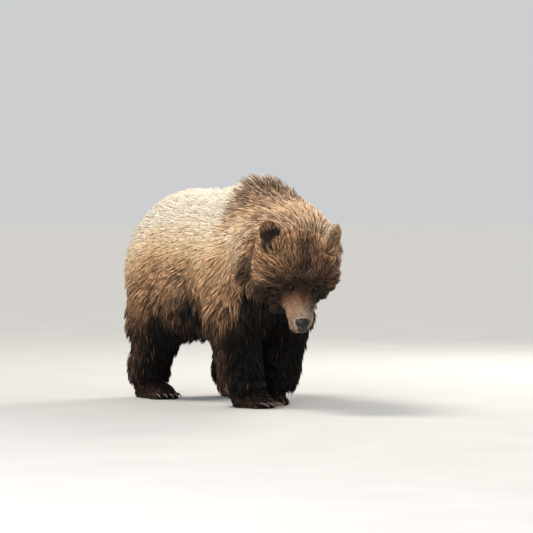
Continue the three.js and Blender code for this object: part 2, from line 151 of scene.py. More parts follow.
class BearSizes(bpy.types.PropertyGroup):
    """The sizes that shape the skin and its coat."""

    voxel: bpy.props.FloatProperty(
        name="Skin grid", description="Spacing of the skin's mesh", default=0.0075, min=0.004, unit="LENGTH"
    )
    tufts: bpy.props.IntProperty(
        name="Tufts", description="How many tufts the coat has in all", default=98000, min=1000,
        subtype="UNSIGNED"
    )
    seed: bpy.props.IntProperty(
        name="Seed", description="Which random coat is grown", default=7, subtype="UNSIGNED"
    )
    eye_radius: bpy.props.FloatProperty(
        name="Eyeball radius", description="Half the width of an eyeball", default=0.0125, unit="LENGTH"
    )
    eye_sunk: bpy.props.FloatProperty(
        name="Eye depth", description="How far the eyeball sits behind its solid", default=0.003,
        unit="LENGTH"
    )


# ---------- Smooth steps and ripples ----------


def rise(low, high, value):
    """0 below low and 1 above high, or the other way round where high is less than low."""
    t = np.clip((value - low) / (high - low), 0, 1)
    return t * t * (3 - 2 * t)


def near(value, centre, reach):
    """1 at the centre, about a third at the reach on either side, and next to nothing beyond twice that."""
    return np.exp(-(((value - centre) / reach) ** 2))


def ripple(points, wavelength, seed):
    """Smooth, uneven waves from about -1 to 1."""
    rng = np.random.default_rng(seed)
    total = np.zeros(len(points))
    for _ in range(7):
        direction = rng.normal(size=3)
        direction *= 2 * math.pi / (np.linalg.norm(direction) * wavelength * rng.uniform(0.7, 1.4))
        total += np.sin(points @ direction + rng.uniform(0, 2 * math.pi))
    return np.clip(total / 3.2, -1.3, 1.3)


def unit(vectors):
    return vectors / np.maximum(np.linalg.norm(vectors, axis=-1, keepdims=True), 1e-9)


def tangent(vectors, normals):
    return unit(vectors - normals * np.sum(vectors * normals, axis=1, keepdims=True))


# ---------- Meshes as arrays ----------


def points_of(mesh):
    co = np.empty(len(mesh.vertices) * 3, np.float32)
    mesh.vertices.foreach_get("co", co)
    return co.reshape(-1, 3).astype(float)


def normals_of(mesh):
    no = np.empty(len(mesh.vertices) * 3, np.float32)
    mesh.vertex_normals.foreach_get("vector", no)
    return no.reshape(-1, 3).astype(float)


def edges_of(mesh):
    ends = np.empty(len(mesh.edges) * 2, np.int32)
    mesh.edges.foreach_get("vertices", ends)
    return ends.reshape(-1, 2)


def triangles_of(mesh):
    mesh.calc_loop_triangles()
    corners = np.empty(len(mesh.loop_triangles) * 3, np.int32)
    mesh.loop_triangles.foreach_get("vertices", corners)
    return corners.reshape(-1, 3)


def set_points(mesh, points):
    mesh.vertices.foreach_set("co", np.asarray(points, np.float32).ravel())
    mesh.update()


def neighbour_mean(values, edges):
    """Each vertex's mean over the vertices that it shares an edge with."""
    count = len(values)
    a, b = edges[:, 0], edges[:, 1]
    ends, others = np.concatenate([a, b]), np.concatenate([b, a])
    degree = np.maximum(np.bincount(ends, minlength=count), 1)
    flat = values.reshape(count, -1)
    total = [np.bincount(ends, weights=column[others], minlength=count) for column in flat.T]
    return (np.stack(total, axis=1) / degree[:, None]).reshape(values.shape)


def spread(values, edges, rounds):
    """Values that flow into each other over the surface."""
    for _ in range(rounds):
        values = (values + neighbour_mean(values, edges)) / 2
    return values


def smooth_form(points, edges, rounds, share):
    """Points smoothed by a share each, with the shrinking undone after each round."""
    for _ in range(rounds):
        points = points + 0.5 * share * (neighbour_mean(points, edges) - points)
        points = points - 0.52 * share * (neighbour_mean(points, edges) - points)
    return points


# Which property of an attribute's items holds the value.
ATTRIBUTE_KEYS = {"FLOAT": "value", "INT": "value", "FLOAT_VECTOR": "vector", "FLOAT_COLOR": "color"}


def write_attribute(mesh, name, values, kind):
    attribute = mesh.attributes.get(name) or mesh.attributes.new(name, kind, "POINT")
    if kind == "FLOAT_COLOR":
        values = np.concatenate([values, np.ones((len(values), 1))], axis=1)
    values = np.asarray(values, np.int32 if kind == "INT" else np.float32)
    attribute.data.foreach_set(ATTRIBUTE_KEYS[kind], values.ravel())


def read_attribute(mesh, name, width):
    attribute = mesh.attributes[name]
    values = np.empty(len(attribute.data) * width, np.int32 if attribute.data_type == "INT" else np.float32)
    attribute.data.foreach_get(ATTRIBUTE_KEYS[attribute.data_type], values)
    return values.reshape(-1, width) if width > 1 else values


# ---------- Objects ----------


def deselect():
    if bpy.context.object and bpy.context.object.mode != "OBJECT":
        bpy.ops.object.mode_set(mode="OBJECT")
    bpy.ops.object.select_all(action="DESELECT")


def make_active(obj):
    deselect()
    obj.select_set(True)
    bpy.context.view_layer.objects.active = obj


def new_object(name, mesh):
    obj = bpy.data.objects.new(name, mesh)
    bpy.context.scene.collection.objects.link(obj)
    return obj


def joined(parts, name):
    deselect()
    for part in parts:
        part.select_set(True)
    bpy.context.view_layer.objects.active = parts[0]
    bpy.ops.object.join()
    obj = bpy.context.object
    obj.name = obj.data.name = name
    return obj


def merged_copy(node, name):
    """A CAD node's mesh in a new object, with its doubled vertices merged."""
    obj = new_object(name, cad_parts[node].data.copy())
    obj.data.materials.clear()
    make_active(obj)
    bpy.ops.object.mode_set(mode="EDIT")
    bpy.ops.mesh.select_all(action="SELECT")
    bpy.ops.mesh.remove_doubles(threshold=1e-5)
    bpy.ops.object.mode_set(mode="OBJECT")
    return obj


def apply_modifier(obj, kind, **settings):
    make_active(obj)
    modifier = obj.modifiers.new(kind.title(), kind)
    for key, value in settings.items():
        setattr(modifier, key, value)
    bpy.ops.object.modifier_apply(modifier=modifier.name)


def bake_place(obj):
    """The object's place goes into its mesh."""
    make_active(obj)
    bpy.ops.object.transform_apply(location=True, rotation=True, scale=True)


def select_only(obj, kind, chosen):
    """Only these vertices (VERT) or faces (FACE) of the object are selected, and it is in edit mode."""
    make_active(obj)
    bpy.ops.object.mode_set(mode="EDIT")
    bpy.ops.mesh.select_mode(type=kind)
    bpy.ops.mesh.select_all(action="DESELECT")
    bpy.ops.object.mode_set(mode="OBJECT")
    items = obj.data.vertices if kind == "VERT" else obj.data.polygons
    items.foreach_set("select", np.asarray(chosen, bool))
    bpy.ops.object.mode_set(mode="EDIT")


def face_centres(mesh):
    centres = np.empty(len(mesh.polygons) * 3, np.float32)
    mesh.polygons.foreach_get("center", centres)
    return centres.reshape(-1, 3).astype(float)


def smooth_shaded(obj):
    make_active(obj)
    bpy.ops.object.shade_smooth()


def finish_piece(obj, material, slot, *nodes):
    obj.data.materials.clear()
    obj.data.materials.append(material)
    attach(obj, "root")
    if nodes:
        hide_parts(*nodes)
    return obj


# ---------- Materials ----------


def new_material(name):
    material = bpy.data.materials.new(name)
    material.use_nodes = True
    tree = material.node_tree
    return material, tree, tree.nodes["Principled BSDF"]


def connect(tree, node, inputs):
    """A node's inputs by name or number: a socket is linked and a value is set."""
    for key, value in inputs.items():
        if isinstance(value, bpy.types.NodeSocket):
            tree.links.new(value, node.inputs[key])
        else:
            node.inputs[key].default_value = value


def add(tree, kind, inputs=None, **settings):
    """A node with its settings and its inputs."""
    node = tree.nodes.new(kind)
    for key, value in settings.items():
        setattr(node, key, value)
    connect(tree, node, inputs or {})
    return node


def ramp_stops(node, stops):
    """A colour ramp's stops, as (position, linear colour)."""
    elements = node.color_ramp.elements
    while len(elements) < len(stops):
        elements.new(0.5)
    for element, (position, shade) in zip(elements, stops):
        element.position = position
        element.color = (*shade, 1)


def dimmed(shade, share):
    return tuple(c * share for c in shade)


def guard_hair():
    """Guard hair: a dull gloss along each lock, which is streaked by its single hairs."""
    material, tree, shader = new_material("guard_hair")
    tone = add(tree, "ShaderNodeAttribute", attribute_name="tone")
    along = add(tree, "ShaderNodeAttribute", attribute_name="along")
    strand = add(tree, "ShaderNodeAttribute", attribute_name="strand")
    # Single hairs are 0.08 mm wide; they are drawn about 0.8 mm wide so that they show.
    across = add(tree, "ShaderNodeMath", {0: strand.outputs["Fac"], 1: 1.25}, operation="MULTIPLY")
    place = add(tree, "ShaderNodeCombineXYZ", {"X": across.outputs[0], "Y": along.outputs["Fac"]})
    hairs = add(tree, "ShaderNodeTexNoise", {"Vector": place.outputs["Vector"], "Scale": 1, "Detail": 2})
    streak = add(tree, "ShaderNodeMapRange", {
        "Value": hairs.outputs["Fac"], "From Min": 0.3, "From Max": 0.7, "To Min": 0.68, "To Max": 1.28,
    })
    # Pale hair is the more even.
    light = add(tree, "ShaderNodeRGBToBW", {"Color": tone.outputs["Color"]})
    even = add(tree, "ShaderNodeMapRange", {
        "Value": light.outputs["Val"], "From Min": 0.25, "From Max": 0.65, "To Min": 0.0, "To Max": 0.65,
    })
    evened = add(tree, "ShaderNodeMix", {0: even.outputs["Result"], 2: streak.outputs["Result"], 3: 0.97})
    streaked = add(tree, "ShaderNodeVectorMath", {0: tone.outputs["Color"], "Scale": evened.outputs[0]},
                   operation="SCALE")
    bump = add(tree, "ShaderNodeBump", {"Height": hairs.outputs["Fac"], "Strength": 0.5, "Distance": 0.0006})
    connect(tree, shader, {
        "Base Color": streaked.outputs[0], "Normal": bump.outputs["Normal"], "Roughness": 0.6,
        "Specular IOR Level": 0.22,
    })
    return material


def hide():
    """Hide: dull skin with a nap of underfur, and bare leather on the soles and the rims of the lids."""
    material, tree, shader = new_material("hide_with_underfur")
    tone = add(tree, "ShaderNodeAttribute", attribute_name="tone")
    place = add(tree, "ShaderNodeTexCoord")
    # Underfur tufts are about 4 mm apart.
    nap = add(tree, "ShaderNodeTexNoise", {"Vector": place.outputs["Object"], "Scale": 250, "Detail": 4})
    shade = add(tree, "ShaderNodeMapRange", {
        "Value": nap.outputs["Fac"], "From Min": 0.3, "From Max": 0.7, "To Min": 0.72, "To Max": 1.15,
    })
    shaded = add(tree, "ShaderNodeVectorMath", {0: tone.outputs["Color"], "Scale": shade.outputs["Result"]},
                 operation="SCALE")
    bump = add(tree, "ShaderNodeBump", {"Height": nap.outputs["Fac"], "Strength": 0.6, "Distance": 0.0015})
    connect(tree, shader, {
        "Base Color": shaded.outputs[0], "Normal": bump.outputs["Normal"], "Roughness": 0.75,
        "Specular IOR Level": 0.2,
    })
    return material


def nose_leather(colours):
    """Nose leather: moist and pebbled, with a broken gloss."""
    material, tree, shader = new_material("moist_nose_leather")
    place = add(tree, "ShaderNodeTexCoord")
    # Pebbles are 1.3 mm across; they are drawn at 2 mm.
    pebbles = add(tree, "ShaderNodeTexVoronoi", {"Vector": place.outputs["Object"], "Scale": 480},
                  feature="SMOOTH_F1")
    dust = add(tree, "ShaderNodeTexNoise", {"Vector": place.outputs["Object"], "Scale": 60, "Detail": 4})
    ramp = add(tree, "ShaderNodeValToRGB", {"Fac": dust.outputs["Fac"]})
    dark = tuple(colours.nose)
    ramp_stops(ramp, [(0.3, dark), (0.75, tuple(c * 2.2 + 0.006 for c in dark))])
    bump = add(tree, "ShaderNodeBump", {
        "Height": pebbles.outputs["Distance"], "Strength": 0.5, "Distance": 0.0008,
    }, invert=True)
    rough = add(tree, "ShaderNodeMapRange", {"Value": dust.outputs["Fac"], "To Min": 0.3, "To Max": 0.5})
    connect(tree, shader, {
        "Base Color": ramp.outputs["Color"], "Normal": bump.outputs["Normal"],
        "Roughness": rough.outputs["Result"], "Specular IOR Level": 0.3, "Coat Weight": 0.15,
        "Coat Roughness": 0.2,
    })
    return material


def eyeball(colours):
    """Eyeball: a wet cornea over a brown iris with a round black pupil."""
    material, tree, shader = new_material("wet_eyeball")
    off_axis = add(tree, "ShaderNodeAttribute", attribute_name="off_axis")
    place = add(tree, "ShaderNodeTexCoord")
    # The iris's fibres are about 1 mm apart.
    fibres = add(tree, "ShaderNodeTexNoise", {"Vector": place.outputs["Object"], "Scale": 900, "Detail": 3})
    shifted = add(tree, "ShaderNodeMath", {0: fibres.outputs["Fac"], 1: 0.05, 2: off_axis.outputs["Fac"]},
                  operation="MULTIPLY_ADD")
    ramp = add(tree, "ShaderNodeValToRGB", {"Fac": shifted.outputs[0]})
    iris, white = tuple(colours.iris), (1.0, 1.0, 1.0)
    ramp_stops(ramp, [
        (0.0, dimmed(white, 0.002)), (0.17, dimmed(white, 0.003)),
        (0.2, iris), (0.33, dimmed(iris, 1.6)), (0.4, dimmed(iris, 0.25)),
        (0.5, colour("#1d1512")),
    ])
    connect(tree, shader, {
        "Base Color": ramp.outputs["Color"], "Roughness": 0.12, "Specular IOR Level": 0.22,
        "Coat Weight": 0.25, "Coat Roughness": 0.03, "IOR": 1.376,
    })
    return material


def horn(colours):
    """Claw horn: grown in long fibres, dark at the root, worn paler and smoother at the tip."""
    material, tree, shader = new_material("claw_horn")
    along = add(tree, "ShaderNodeAttribute", attribute_name="along")
    place = add(tree, "ShaderNodeTexCoord")
    squeeze = add(tree, "ShaderNodeMapping", {"Vector": place.outputs["Object"], "Scale": (9, 1, 4)})
    # Fibres are 0.5 mm wide; they are drawn at 1 mm across and ten times as long.
    fibres = add(tree, "ShaderNodeTexNoise", {"Vector": squeeze.outputs["Vector"], "Scale": 110, "Detail": 3})
    mixed = add(tree, "ShaderNodeMath", {0: fibres.outputs["Fac"], 1: 0.35, 2: along.outputs["Fac"]},
                operation="MULTIPLY_ADD")
    ramp = add(tree, "ShaderNodeValToRGB", {"Fac": mixed.outputs[0]})
    ramp_stops(ramp, [
        (0.15, tuple(colours.horn)), (0.75, colour("#54412f")), (1.0, tuple(colours.horn_tip)),
    ])
    bump = add(tree, "ShaderNodeBump", {"Height": fibres.outputs["Fac"], "Strength": 0.3, "Distance": 0.0004})
    connect(tree, shader, {
        "Base Color": ramp.outputs["Color"], "Normal": bump.outputs["Normal"], "Roughness": 0.38,
    })
    return material


def studio_floor(colours):
    """Studio floor: painted board, matt, with the faint unevenness of a roller."""
    material, tree, shader = new_material("matt_painted_board")
    place = add(tree, "ShaderNodeTexCoord")
    mottle = add(tree, "ShaderNodeTexNoise", {"Vector": place.outputs["Object"], "Scale": 3, "Detail": 4})
    ramp = add(tree, "ShaderNodeValToRGB", {"Fac": mottle.outputs["Fac"]})
    pale = tuple(colours.floor)
    ramp_stops(ramp, [(0.3, dimmed(pale, 0.94)), (0.7, pale)])
    connect(tree, shader, {"Base Color": ramp.outputs["Color"], "Roughness": 0.85})
    return material


# ---------- Regions of the coat ----------

# Each region: how deep the coat is, how long its tufts are and how wide, in metres; how crowded they are,
# against the others; how far a lock's tips are drawn together, and how far apart the locks are, in metres.
COAT = {
    "trunk": (0.044, 0.094, 0.0064, 1.0, 0.34, 0.024),
    "hump": (0.064, 0.108, 0.0060, 1.2, 0.42, 0.024),
    "belly": (0.052, 0.095, 0.0068, 0.8, 0.62, 0.028),
    "neck": (0.050, 0.088, 0.0058, 1.25, 0.42, 0.022),
    "upper_leg": (0.044, 0.094, 0.0064, 1.05, 0.55, 0.026),
    "lower_leg": (0.030, 0.074, 0.0054, 1.30, 0.50, 0.020),
    "paw": (0.012, 0.030, 0.0040, 1.9, 0.35, 0.011),
    "head": (0.023, 0.046, 0.0046, 2.6, 0.55, 0.016),
    "cheek": (0.034, 0.070, 0.0052, 2.1, 0.58, 0.020),
    "face": (0.008, 0.016, 0.0029, 4.2, 0.25, 0.008),
    "muzzle": (0.0035, 0.0090, 0.0022, 5.6, 0.12, 0.006),
    "jaw": (0.010, 0.020, 0.0031, 3.6, 0.35, 0.009),
    "ear": (0.0035, 0.018, 0.0030, 5.2, 0.10, 0.008),
    "tail": (0.020, 0.060, 0.0058, 1.4, 0.50, 0.018),
}
ZONES = sorted(COAT)
COAT_TABLE = np.array([COAT[name] for name in ZONES])
DEPTH, CROWD = 0, 3  # columns of the table


def in_zones(zone, *names):
    """Whether each point is in one of these regions."""
    return np.isin(zone, [ZONES.index(name) for name in names])


def zone_of(node):
    """The coat zone that most of a node's surface has."""
    if node.startswith("paw"):
        return "paw"
    if node.startswith("ear"):
        return "ear"
    if node.endswith("_upper"):
        return "upper_leg"
    if node.endswith("_lower"):
        return "lower_leg"
    return node


def zones_at(points, normals, nodes):
    """Each point's zone, from its node and its place on the animal."""
    _, y, z = (points - BODY_ORIGIN).T
    hx, hy, hz = in_head(points).T
    zone = np.array([ZONES.index(zone_of(n)) for n in FLESH])[nodes]
    trunk, head, jaw = (in_zones(zone, name) for name in ("trunk", "head", "jaw"))
    zone[trunk & (y < -0.02) & (z > 0.8)] = ZONES.index("hump")
    zone[trunk & (normals[:, 2] < -0.35)] = ZONES.index("belly")
    zone[head & (np.abs(hx) > 0.085) & (hz < 0.06)] = ZONES.index("cheek")
    zone[head & (hy < 0.035) & (np.abs(hx) < 0.085)] = ZONES.index("face")
    zone[jaw & (np.abs(hx) > 0.06)] = ZONES.index("cheek")
    return zone


def lie_at(points, normals, zone):
    """Which way the coat lies at each point, before it is laid on the surface."""
    x, y, z = (points - BODY_ORIGIN).T
    h = in_head(points)
    side = np.sign(x)
    none, ones = np.zeros(len(points)), np.ones(len(points))
    # Back along the spine, and the lower the steeper; straight down where the shoulder turns to the chest.
    steep = 0.14 + 0.36 * rise(0.9, 0.2, normals[:, 2]) + 0.75 * rise(0.56, 0.36, z)
    turn = rise(-0.30, -0.42, y) * rise(0.72, 0.60, z)
    lie = np.stack([none, 1 - 0.85 * turn, -steep - 1.2 * turn], axis=1)
    neck = in_zones(zone, "neck")
    over = rise(0.2, 0.8, normals[:, 2])
    lie[neck] = np.stack([0.10 * side, 0.75 * ones, -0.90 + 0.80 * over], axis=1)[neck]
    leg = in_zones(zone, "upper_leg", "lower_leg")
    low = rise(0.52, 0.34, z)
    behind = 0.75 * (1 - low) + 0.12 * low
    lie[leg] = np.stack([none, behind * (1 - turn), -0.75 - 0.5 * low], axis=1)[leg]
    lie[in_zones(zone, "tail")] = (0, 0.1, -1)
    lie[in_zones(zone, "paw")] = (-0.08, -1.0, -0.55)
    # Out from the muzzle on the head, and the cheeks hang.
    from_nose = turned_from_head(unit(h - (0, -0.135, -0.035)))
    cheek = in_zones(zone, "cheek", "jaw")
    from_nose[cheek, 2] -= 0.45
    on_head = in_zones(zone, "head", "cheek", "face", "muzzle", "jaw")
    lie[on_head] = from_nose[on_head]
    ear = in_zones(zone, "ear")
    for _, sign in SIDES:
        _, sideways, _ = on_ear(h, normals, sign)
        mine = ear & (h[:, 0] * sign > 0)
        up, _, across = ear_axes(sign)
        fan = up[None] * 0.8 + across[None] * (sideways * 14)[:, None]
        lie[mine] = turned_from_head(fan)[mine]
    return unit(lie)


# Each ear by its side, in the head's own frame: its middle, which way its tip and its hollow point, the
# colours of its back and its fringe, how strong its fringe, its tan crest and its dark hollow are, and how
# much the hollow fades towards the tip.
EARS = {
    1: {
        "middle": (0.116, 0.181, 0.118), "up": (0.2, 0.75, 0.55), "faces": (0.66, -0.45, 0.55),
        "back": "fawn", "fringe": "cream", "fringed": 0.7, "crest": 0.0, "hollow": 0.5, "fades": 0.80,
    },
    -1: {
        "middle": (-0.144, 0.181, 0.118), "up": (-0.35, 0.75, 0.55), "faces": (-0.2, -0.58, 0.79),
        "back": "temple", "fringe": "ear_rim", "fringed": 1.0, "crest": 0.7, "hollow": 1.0, "fades": 0.75,
    },
}


def ear_axes(sign):
    """Which way an ear's tip, its hollow and its width point, in the head's own frame."""
    up = unit(np.array(EARS[sign]["up"]))
    front = np.array(EARS[sign]["faces"])
    front = unit(front - up * (front @ up))
    return up, front, np.cross(front, up)


def on_ear(h, normals, sign):
    """How far points are towards an ear's tip and its side, and how much they face as its hollow does."""
    up, front, across = ear_axes(sign)
    from_middle = h - np.array(EARS[sign]["middle"])
    return from_middle @ up, from_middle @ across, turned_in_head(normals) @ front


def ear_edge(tip, sideways):
    """0 at the middle of an ear and 1 on its rim."""
    return np.hypot(tip / 0.058, sideways / 0.047)


def lip_line(hy):
    """How high the line of the mouth is, in the head's frame."""
    return -0.089 + 0.1 * (hy + 0.14)


def nose_distance(h):
    """0 at the middle of the nose leather and about 1 on its edge."""
    centre = in_head(np.array([middle("nose")]))[0]
    return np.linalg.norm((h - centre) / (0.037, 0.040, 0.034), axis=1)


# ---------- Markings, the same on the skin and on the coat ----------


# From the belly to the back: how high above the floor each colour is at its purest, in metres.
RISING = (
    (0.31, "black"), (0.37, "umber"), (0.425, "brown"), (0.475, "chestnut"), (0.55, "tan"),
    (0.625, "fawn"), (0.70, "straw"), (0.82, "cream"),
)
# From the eyes outwards on the head: how far from their middle each colour is at its purest, in metres.
OUTWARDS = ((0.098, "brow"), (0.152, "mask"), (0.218, "temple"), (0.290, "gold"))


def run_through(value, stops, shades):
    """Colours that run from one stop's to the next one's."""
    table = np.array([shades[name] for _, name in stops])
    places = [place for place, _ in stops]
    return np.stack([np.interp(value, places, column) for column in table.T], axis=1)


def outward(x, normals):
    """How much the surface faces away from the animal's middle line, and to its back end."""
    return normals[:, 0] * np.sign(x) * 0.85 + normals[:, 1] * 0.55


def marking(points, normals, colours):
    """The coat's colour at each point."""
    x, y, z = (points - BODY_ORIGIN).T
    hx, hy, hz = in_head(points).T
    aside = np.abs(hx)
    nx, _, nz = normals.T
    shades = {key: np.array(getattr(colours, key)) for key in BearColours.__annotations__}
    height = z + 0.020 * ripple(points, 0.30, 3) + 0.012 * ripple(points, 0.09, 5)
    # The pale colours reach further down over the shoulder, the rump and the flank's rear edge.
    level = height + 0.055 * near(y, -0.29, 0.10) * rise(0.66, 0.50, z) + 0.048 * rise(0.20, 0.34, y)
    level = level + 0.040 * near(y, -0.39, 0.07) * near(z, 0.575, 0.06)
    level = level + 0.050 * near(y, 0.14, 0.06) * rise(0.46, 0.38, z)
    result = run_through(level, RISING, shades)

    def lay(name, weight):
        nonlocal result
        result = result + (shades[name] - result) * np.clip(weight, 0, 1)[:, None]

    # Forequarters: greyer hump, golden nape, pale band, and a darker ruff behind the cheek, which is partly
    # its own colour and partly painted shadow of the cheek.
    lay("nape", 0.9 * rise(-0.20, -0.36, y) * rise(0.68, 0.80, height))
    lay("hump", 0.95 * rise(-0.20, -0.36, y + 0.4 * (0.9 - z)) * rise(0.81, 0.93, height)
        * rise(-0.68, -0.54, y))
    # The side of the neck behind the cheek darkens downwards: partly the ruff's own colour, partly painted
    # shadow of the cheek.
    neck_side = rise(-0.51, -0.60, y) * rise(0.1, 0.5, np.abs(nx))
    lay("ruff", 0.9 * neck_side * rise(0.79, 0.71, height))
    lay("umber", 0.9 * neck_side * rise(0.62, 0.54, height))
    band = near(y, -0.475, 0.050) * rise(0.60, 0.69, height) * rise(0.84, 0.78, z)
    lay("straw", 0.85 * band * rise(0.1, 0.5, np.abs(nx)))

    # Below: painted shade in the fold behind the elbow and on the flank's front edge over the hind leg; the
    # belly and the chest are dark hair, with painted shade and shadow over it; and painted shade low on the
    # left shoulder.
    # Painted shade in the fold behind the elbow and where the flank's front edge hangs over the hind leg.
    lay("black", 0.95 * near(y, -0.060, 0.062) * rise(0.55, 0.455, height) * rise(0.1, 0.4, np.abs(x)))
    lay("black", 0.95 * near(y, 0.225, 0.032) * rise(0.41, 0.36, z) * rise(0.1, 0.2, np.abs(x)))
    # The belly's dark hair, painted darker still as shade where it faces down.
    lay("black", 0.95 * rise(-0.25, -0.7, nz) * rise(0.52, 0.42, z))
    # The chest's dark hair, with the head's shadow painted on its front.
    lay("black", 0.95 * rise(-0.35, -0.40, y) * rise(0.52, 0.46, height) * rise(0.205, 0.165, np.abs(x)))
    lay("black", 0.90 * rise(-0.29, -0.35, y) * rise(0.50, 0.44, height) * rise(0.05, 0.10, x))
    # Painted shade low on the left shoulder.
    lay("black", 0.85 * near(y, -0.20, 0.15) * rise(0.47, 0.41, height) * rise(0.18, 0.24, x))
    # Legs: brown outside and behind, black in front and inside.
    outer = rise(0.25, 0.75, outward(x, normals))
    leg = rise(0.40, 0.34, level)
    lay("black", 0.97 * leg * (1 - outer))
    lay("umber", 0.85 * rise(0.36, 0.30, level) * outer * rise(-0.05, 0.05, z))
    # Painted shade in the fold behind the elbow, lower down.
    lay("black", 0.85 * near(y, -0.04, 0.06) * rise(0.44, 0.38, z))
    lay("black", 0.45 * rise(0.22, 0.10, z))
    lay("umber", 0.6 * rise(0.05, 0.03, z) * rise(0.1, 0.6, nz))

    # Head: golden crown and cheeks, dark towards the eyes.
    on_head = rise(0.26, 0.20, hy) * rise(-0.30, -0.20, hz) * (np.hypot(hx, np.maximum(hy, 0)) < 0.33)
    away = np.sqrt(hx**2 + (hy + 0.02) ** 2 + 0.64 * (hz + 0.06) ** 2) + 0.010 * ripple(points, 0.05, 8)
    result = result + (run_through(away, OUTWARDS, shades) - result) * on_head[:, None]
    up_face = 0.835 * hy + 0.55 * hz
    # A dark stripe up the middle of the forehead, and darker hair across it.
    lay("brow", 0.85 * on_head * near(hx, -0.002, 0.033) * rise(0.17, 0.13, hy) * rise(0.01, 0.05, hy))
    lay("brow", 0.65 * on_head * near(hx, 0.008, 0.042) * near(up_face, 0.190, 0.026))
    lay("mask", 0.65 * on_head * near(hx, -0.030, 0.072) * near(up_face, 0.224, 0.020))
    # Pale temples and cheeks, and dark brows round the eyes; the left cheek's outer side is painted paler as
    # rim light.
    lay("gold", 0.50 * on_head * near(aside, 0.125, 0.034) * near(hy, 0.100, 0.034) * rise(0.02, 0.05, hz))
    # Painted rim light on the left cheek's outer side.
    lay("gold", 0.35 * on_head * rise(0.165, 0.190, hx) * rise(0.10, 0.03, hz))
    lay("temple", 0.55 * on_head * rise(-0.165, -0.195, hx) * rise(0.11, 0.05, hz))
    lay("brow", 0.80 * on_head * rise(0.100, 0.122, aside) * rise(0.175, 0.155, aside)
        * rise(0.055, 0.025, hy) * rise(-0.005, -0.035, hz))
    # More painted rim light along the left cheek's edge.
    lay("fawn", 0.45 * on_head * rise(0.170, 0.200, hx) * rise(0.14, 0.08, hz) * rise(-0.10, -0.04, hz))
    # Pale hair on the neck and the crown beside the left ear; on the neck it is partly painted rim light.
    lay("cream", 0.85 * near(x, 0.155, 0.065) * near(y, -0.56, 0.10) * rise(0.72, 0.79, z))
    lay("straw", 0.65 * near(hx, 0.085, 0.042) * near(up_face, 0.268, 0.034) * rise(0.04, 0.08, hz))
    # Dark under the head: dark hair with painted shadow under the head. Behind the right cheek the fold of
    # the neck is painted paler than its mid-brown hair, as painted light against the shade there.
    lay("black", 0.55 * on_head * rise(-0.05, -0.12, hz) * rise(0.00, 0.05, hy))
    lay("brow", 0.15 * on_head * rise(0.085, 0.110, hx) * rise(0.06, 0.02, hz) * rise(0.09, 0.05, hy))
    # Painted light: the fold behind the right cheek is made paler to offset its shade.
    lay("fawn", 0.95 * near(x, -0.235, 0.060) * near(y, -0.555, 0.070) * near(z, 0.600, 0.080))
    # A grizzled whorl between the eyes, which are in dark patches, and the dark roots of the ears, which are
    # painted shade under the ears, most under the right one.
    lay("whorl", 0.75 * np.exp(-((hx - 0.026) ** 2 + (hy - 0.025) ** 2 + (hz - 0.078) ** 2) / 0.023**2))
    lay("black", 0.75 * near(aside, EYE_SIDE + 0.004, 0.026) * near(hz, 0.0, 0.018) * rise(0.06, 0.02, hy))
    # Painted shade at the roots of the ears and below the right ear.
    ear_root_shade = near(aside, 0.162, 0.040) * near(hy, 0.145, 0.034) * near(hz, 0.100, 0.038)
    lay("ear_inside", ear_root_shade * np.where(hx < 0, 1.3, 0.2))
    lay("mask", 0.6 * near(hx, -0.200, 0.022) * near(hy, 0.165, 0.035) * near(hz, 0.040, 0.035))
    # The jowls stay dark, as painted shade; the muzzle pales towards the nose, and is warmer on its right
    # than on its left, as painted light on the right and painted shade on the left.
    muzzle = rise(0.000, -0.040, hy) * rise(0.118, 0.088, aside) * on_head
    muzzle = muzzle * np.maximum(rise(-0.125, -0.095, hz), rise(-0.06, -0.09, hy))
    lay("mask", 0.7 * muzzle)
    lay("temple", 0.8 * muzzle * rise(-0.025, -0.065, hy))
    lay("muzzle", muzzle * rise(-0.050, -0.112, hy - 0.3 * aside))
    # Painted light: warmer on the muzzle's lit right side.
    lay("temple", 0.40 * muzzle * rise(-0.005, -0.035, hx) * rise(-0.135, -0.105, hy))
    # Painted shade on the muzzle's left side.
    lay("brow", 0.60 * muzzle * rise(0.012, 0.040, hx) * rise(-0.120, -0.080, hy))
    lay("brow", 0.50 * muzzle * near(hx, 0.002, 0.009) * rise(-0.12, -0.06, hy) * rise(-0.06, -0.03, hz))
    # Painted shade low on the sides of the jaw.
    jowl_shade = on_head * rise(0.066, 0.084, aside) * rise(-0.075, -0.095, hz) * rise(-0.070, -0.045, hy)
    lay("black", 0.70 * jowl_shade)
    # A pale arc over the left eye: a painted highlight on the brow ridge.
    brow_highlight = near(np.hypot(hx - EYE_SIDE - 0.004, hz - 0.002), 0.024, 0.006) * rise(0.000, 0.012, hz)
    lay("whorl", 0.45 * on_head * brow_highlight * rise(0.05, 0.02, hy))
    # Pale lips and the dark line of the mouth.
    mouth = lip_line(hy)
    lay("lip", 0.8 * muzzle * near(hz, mouth + 0.006, 0.007) * rise(-0.02, -0.06, hy))
    lay("black", 0.9 * near(hz, mouth, 0.0022) * rise(0.03, 0.0, hy) * on_head)
    return result


def tip_gain(points, normals):
    """How much paler a tuft's tip is than its middle."""
    x, _, z = (points - BODY_ORIGIN).T
    outer = rise(0.1, 0.6, outward(x, normals))
    low = near(z, 0.44, 0.11) + 0.9 * rise(0.40, 0.34, z) * outer
    return 1.22 + 0.50 * np.clip(low, 0, 1)


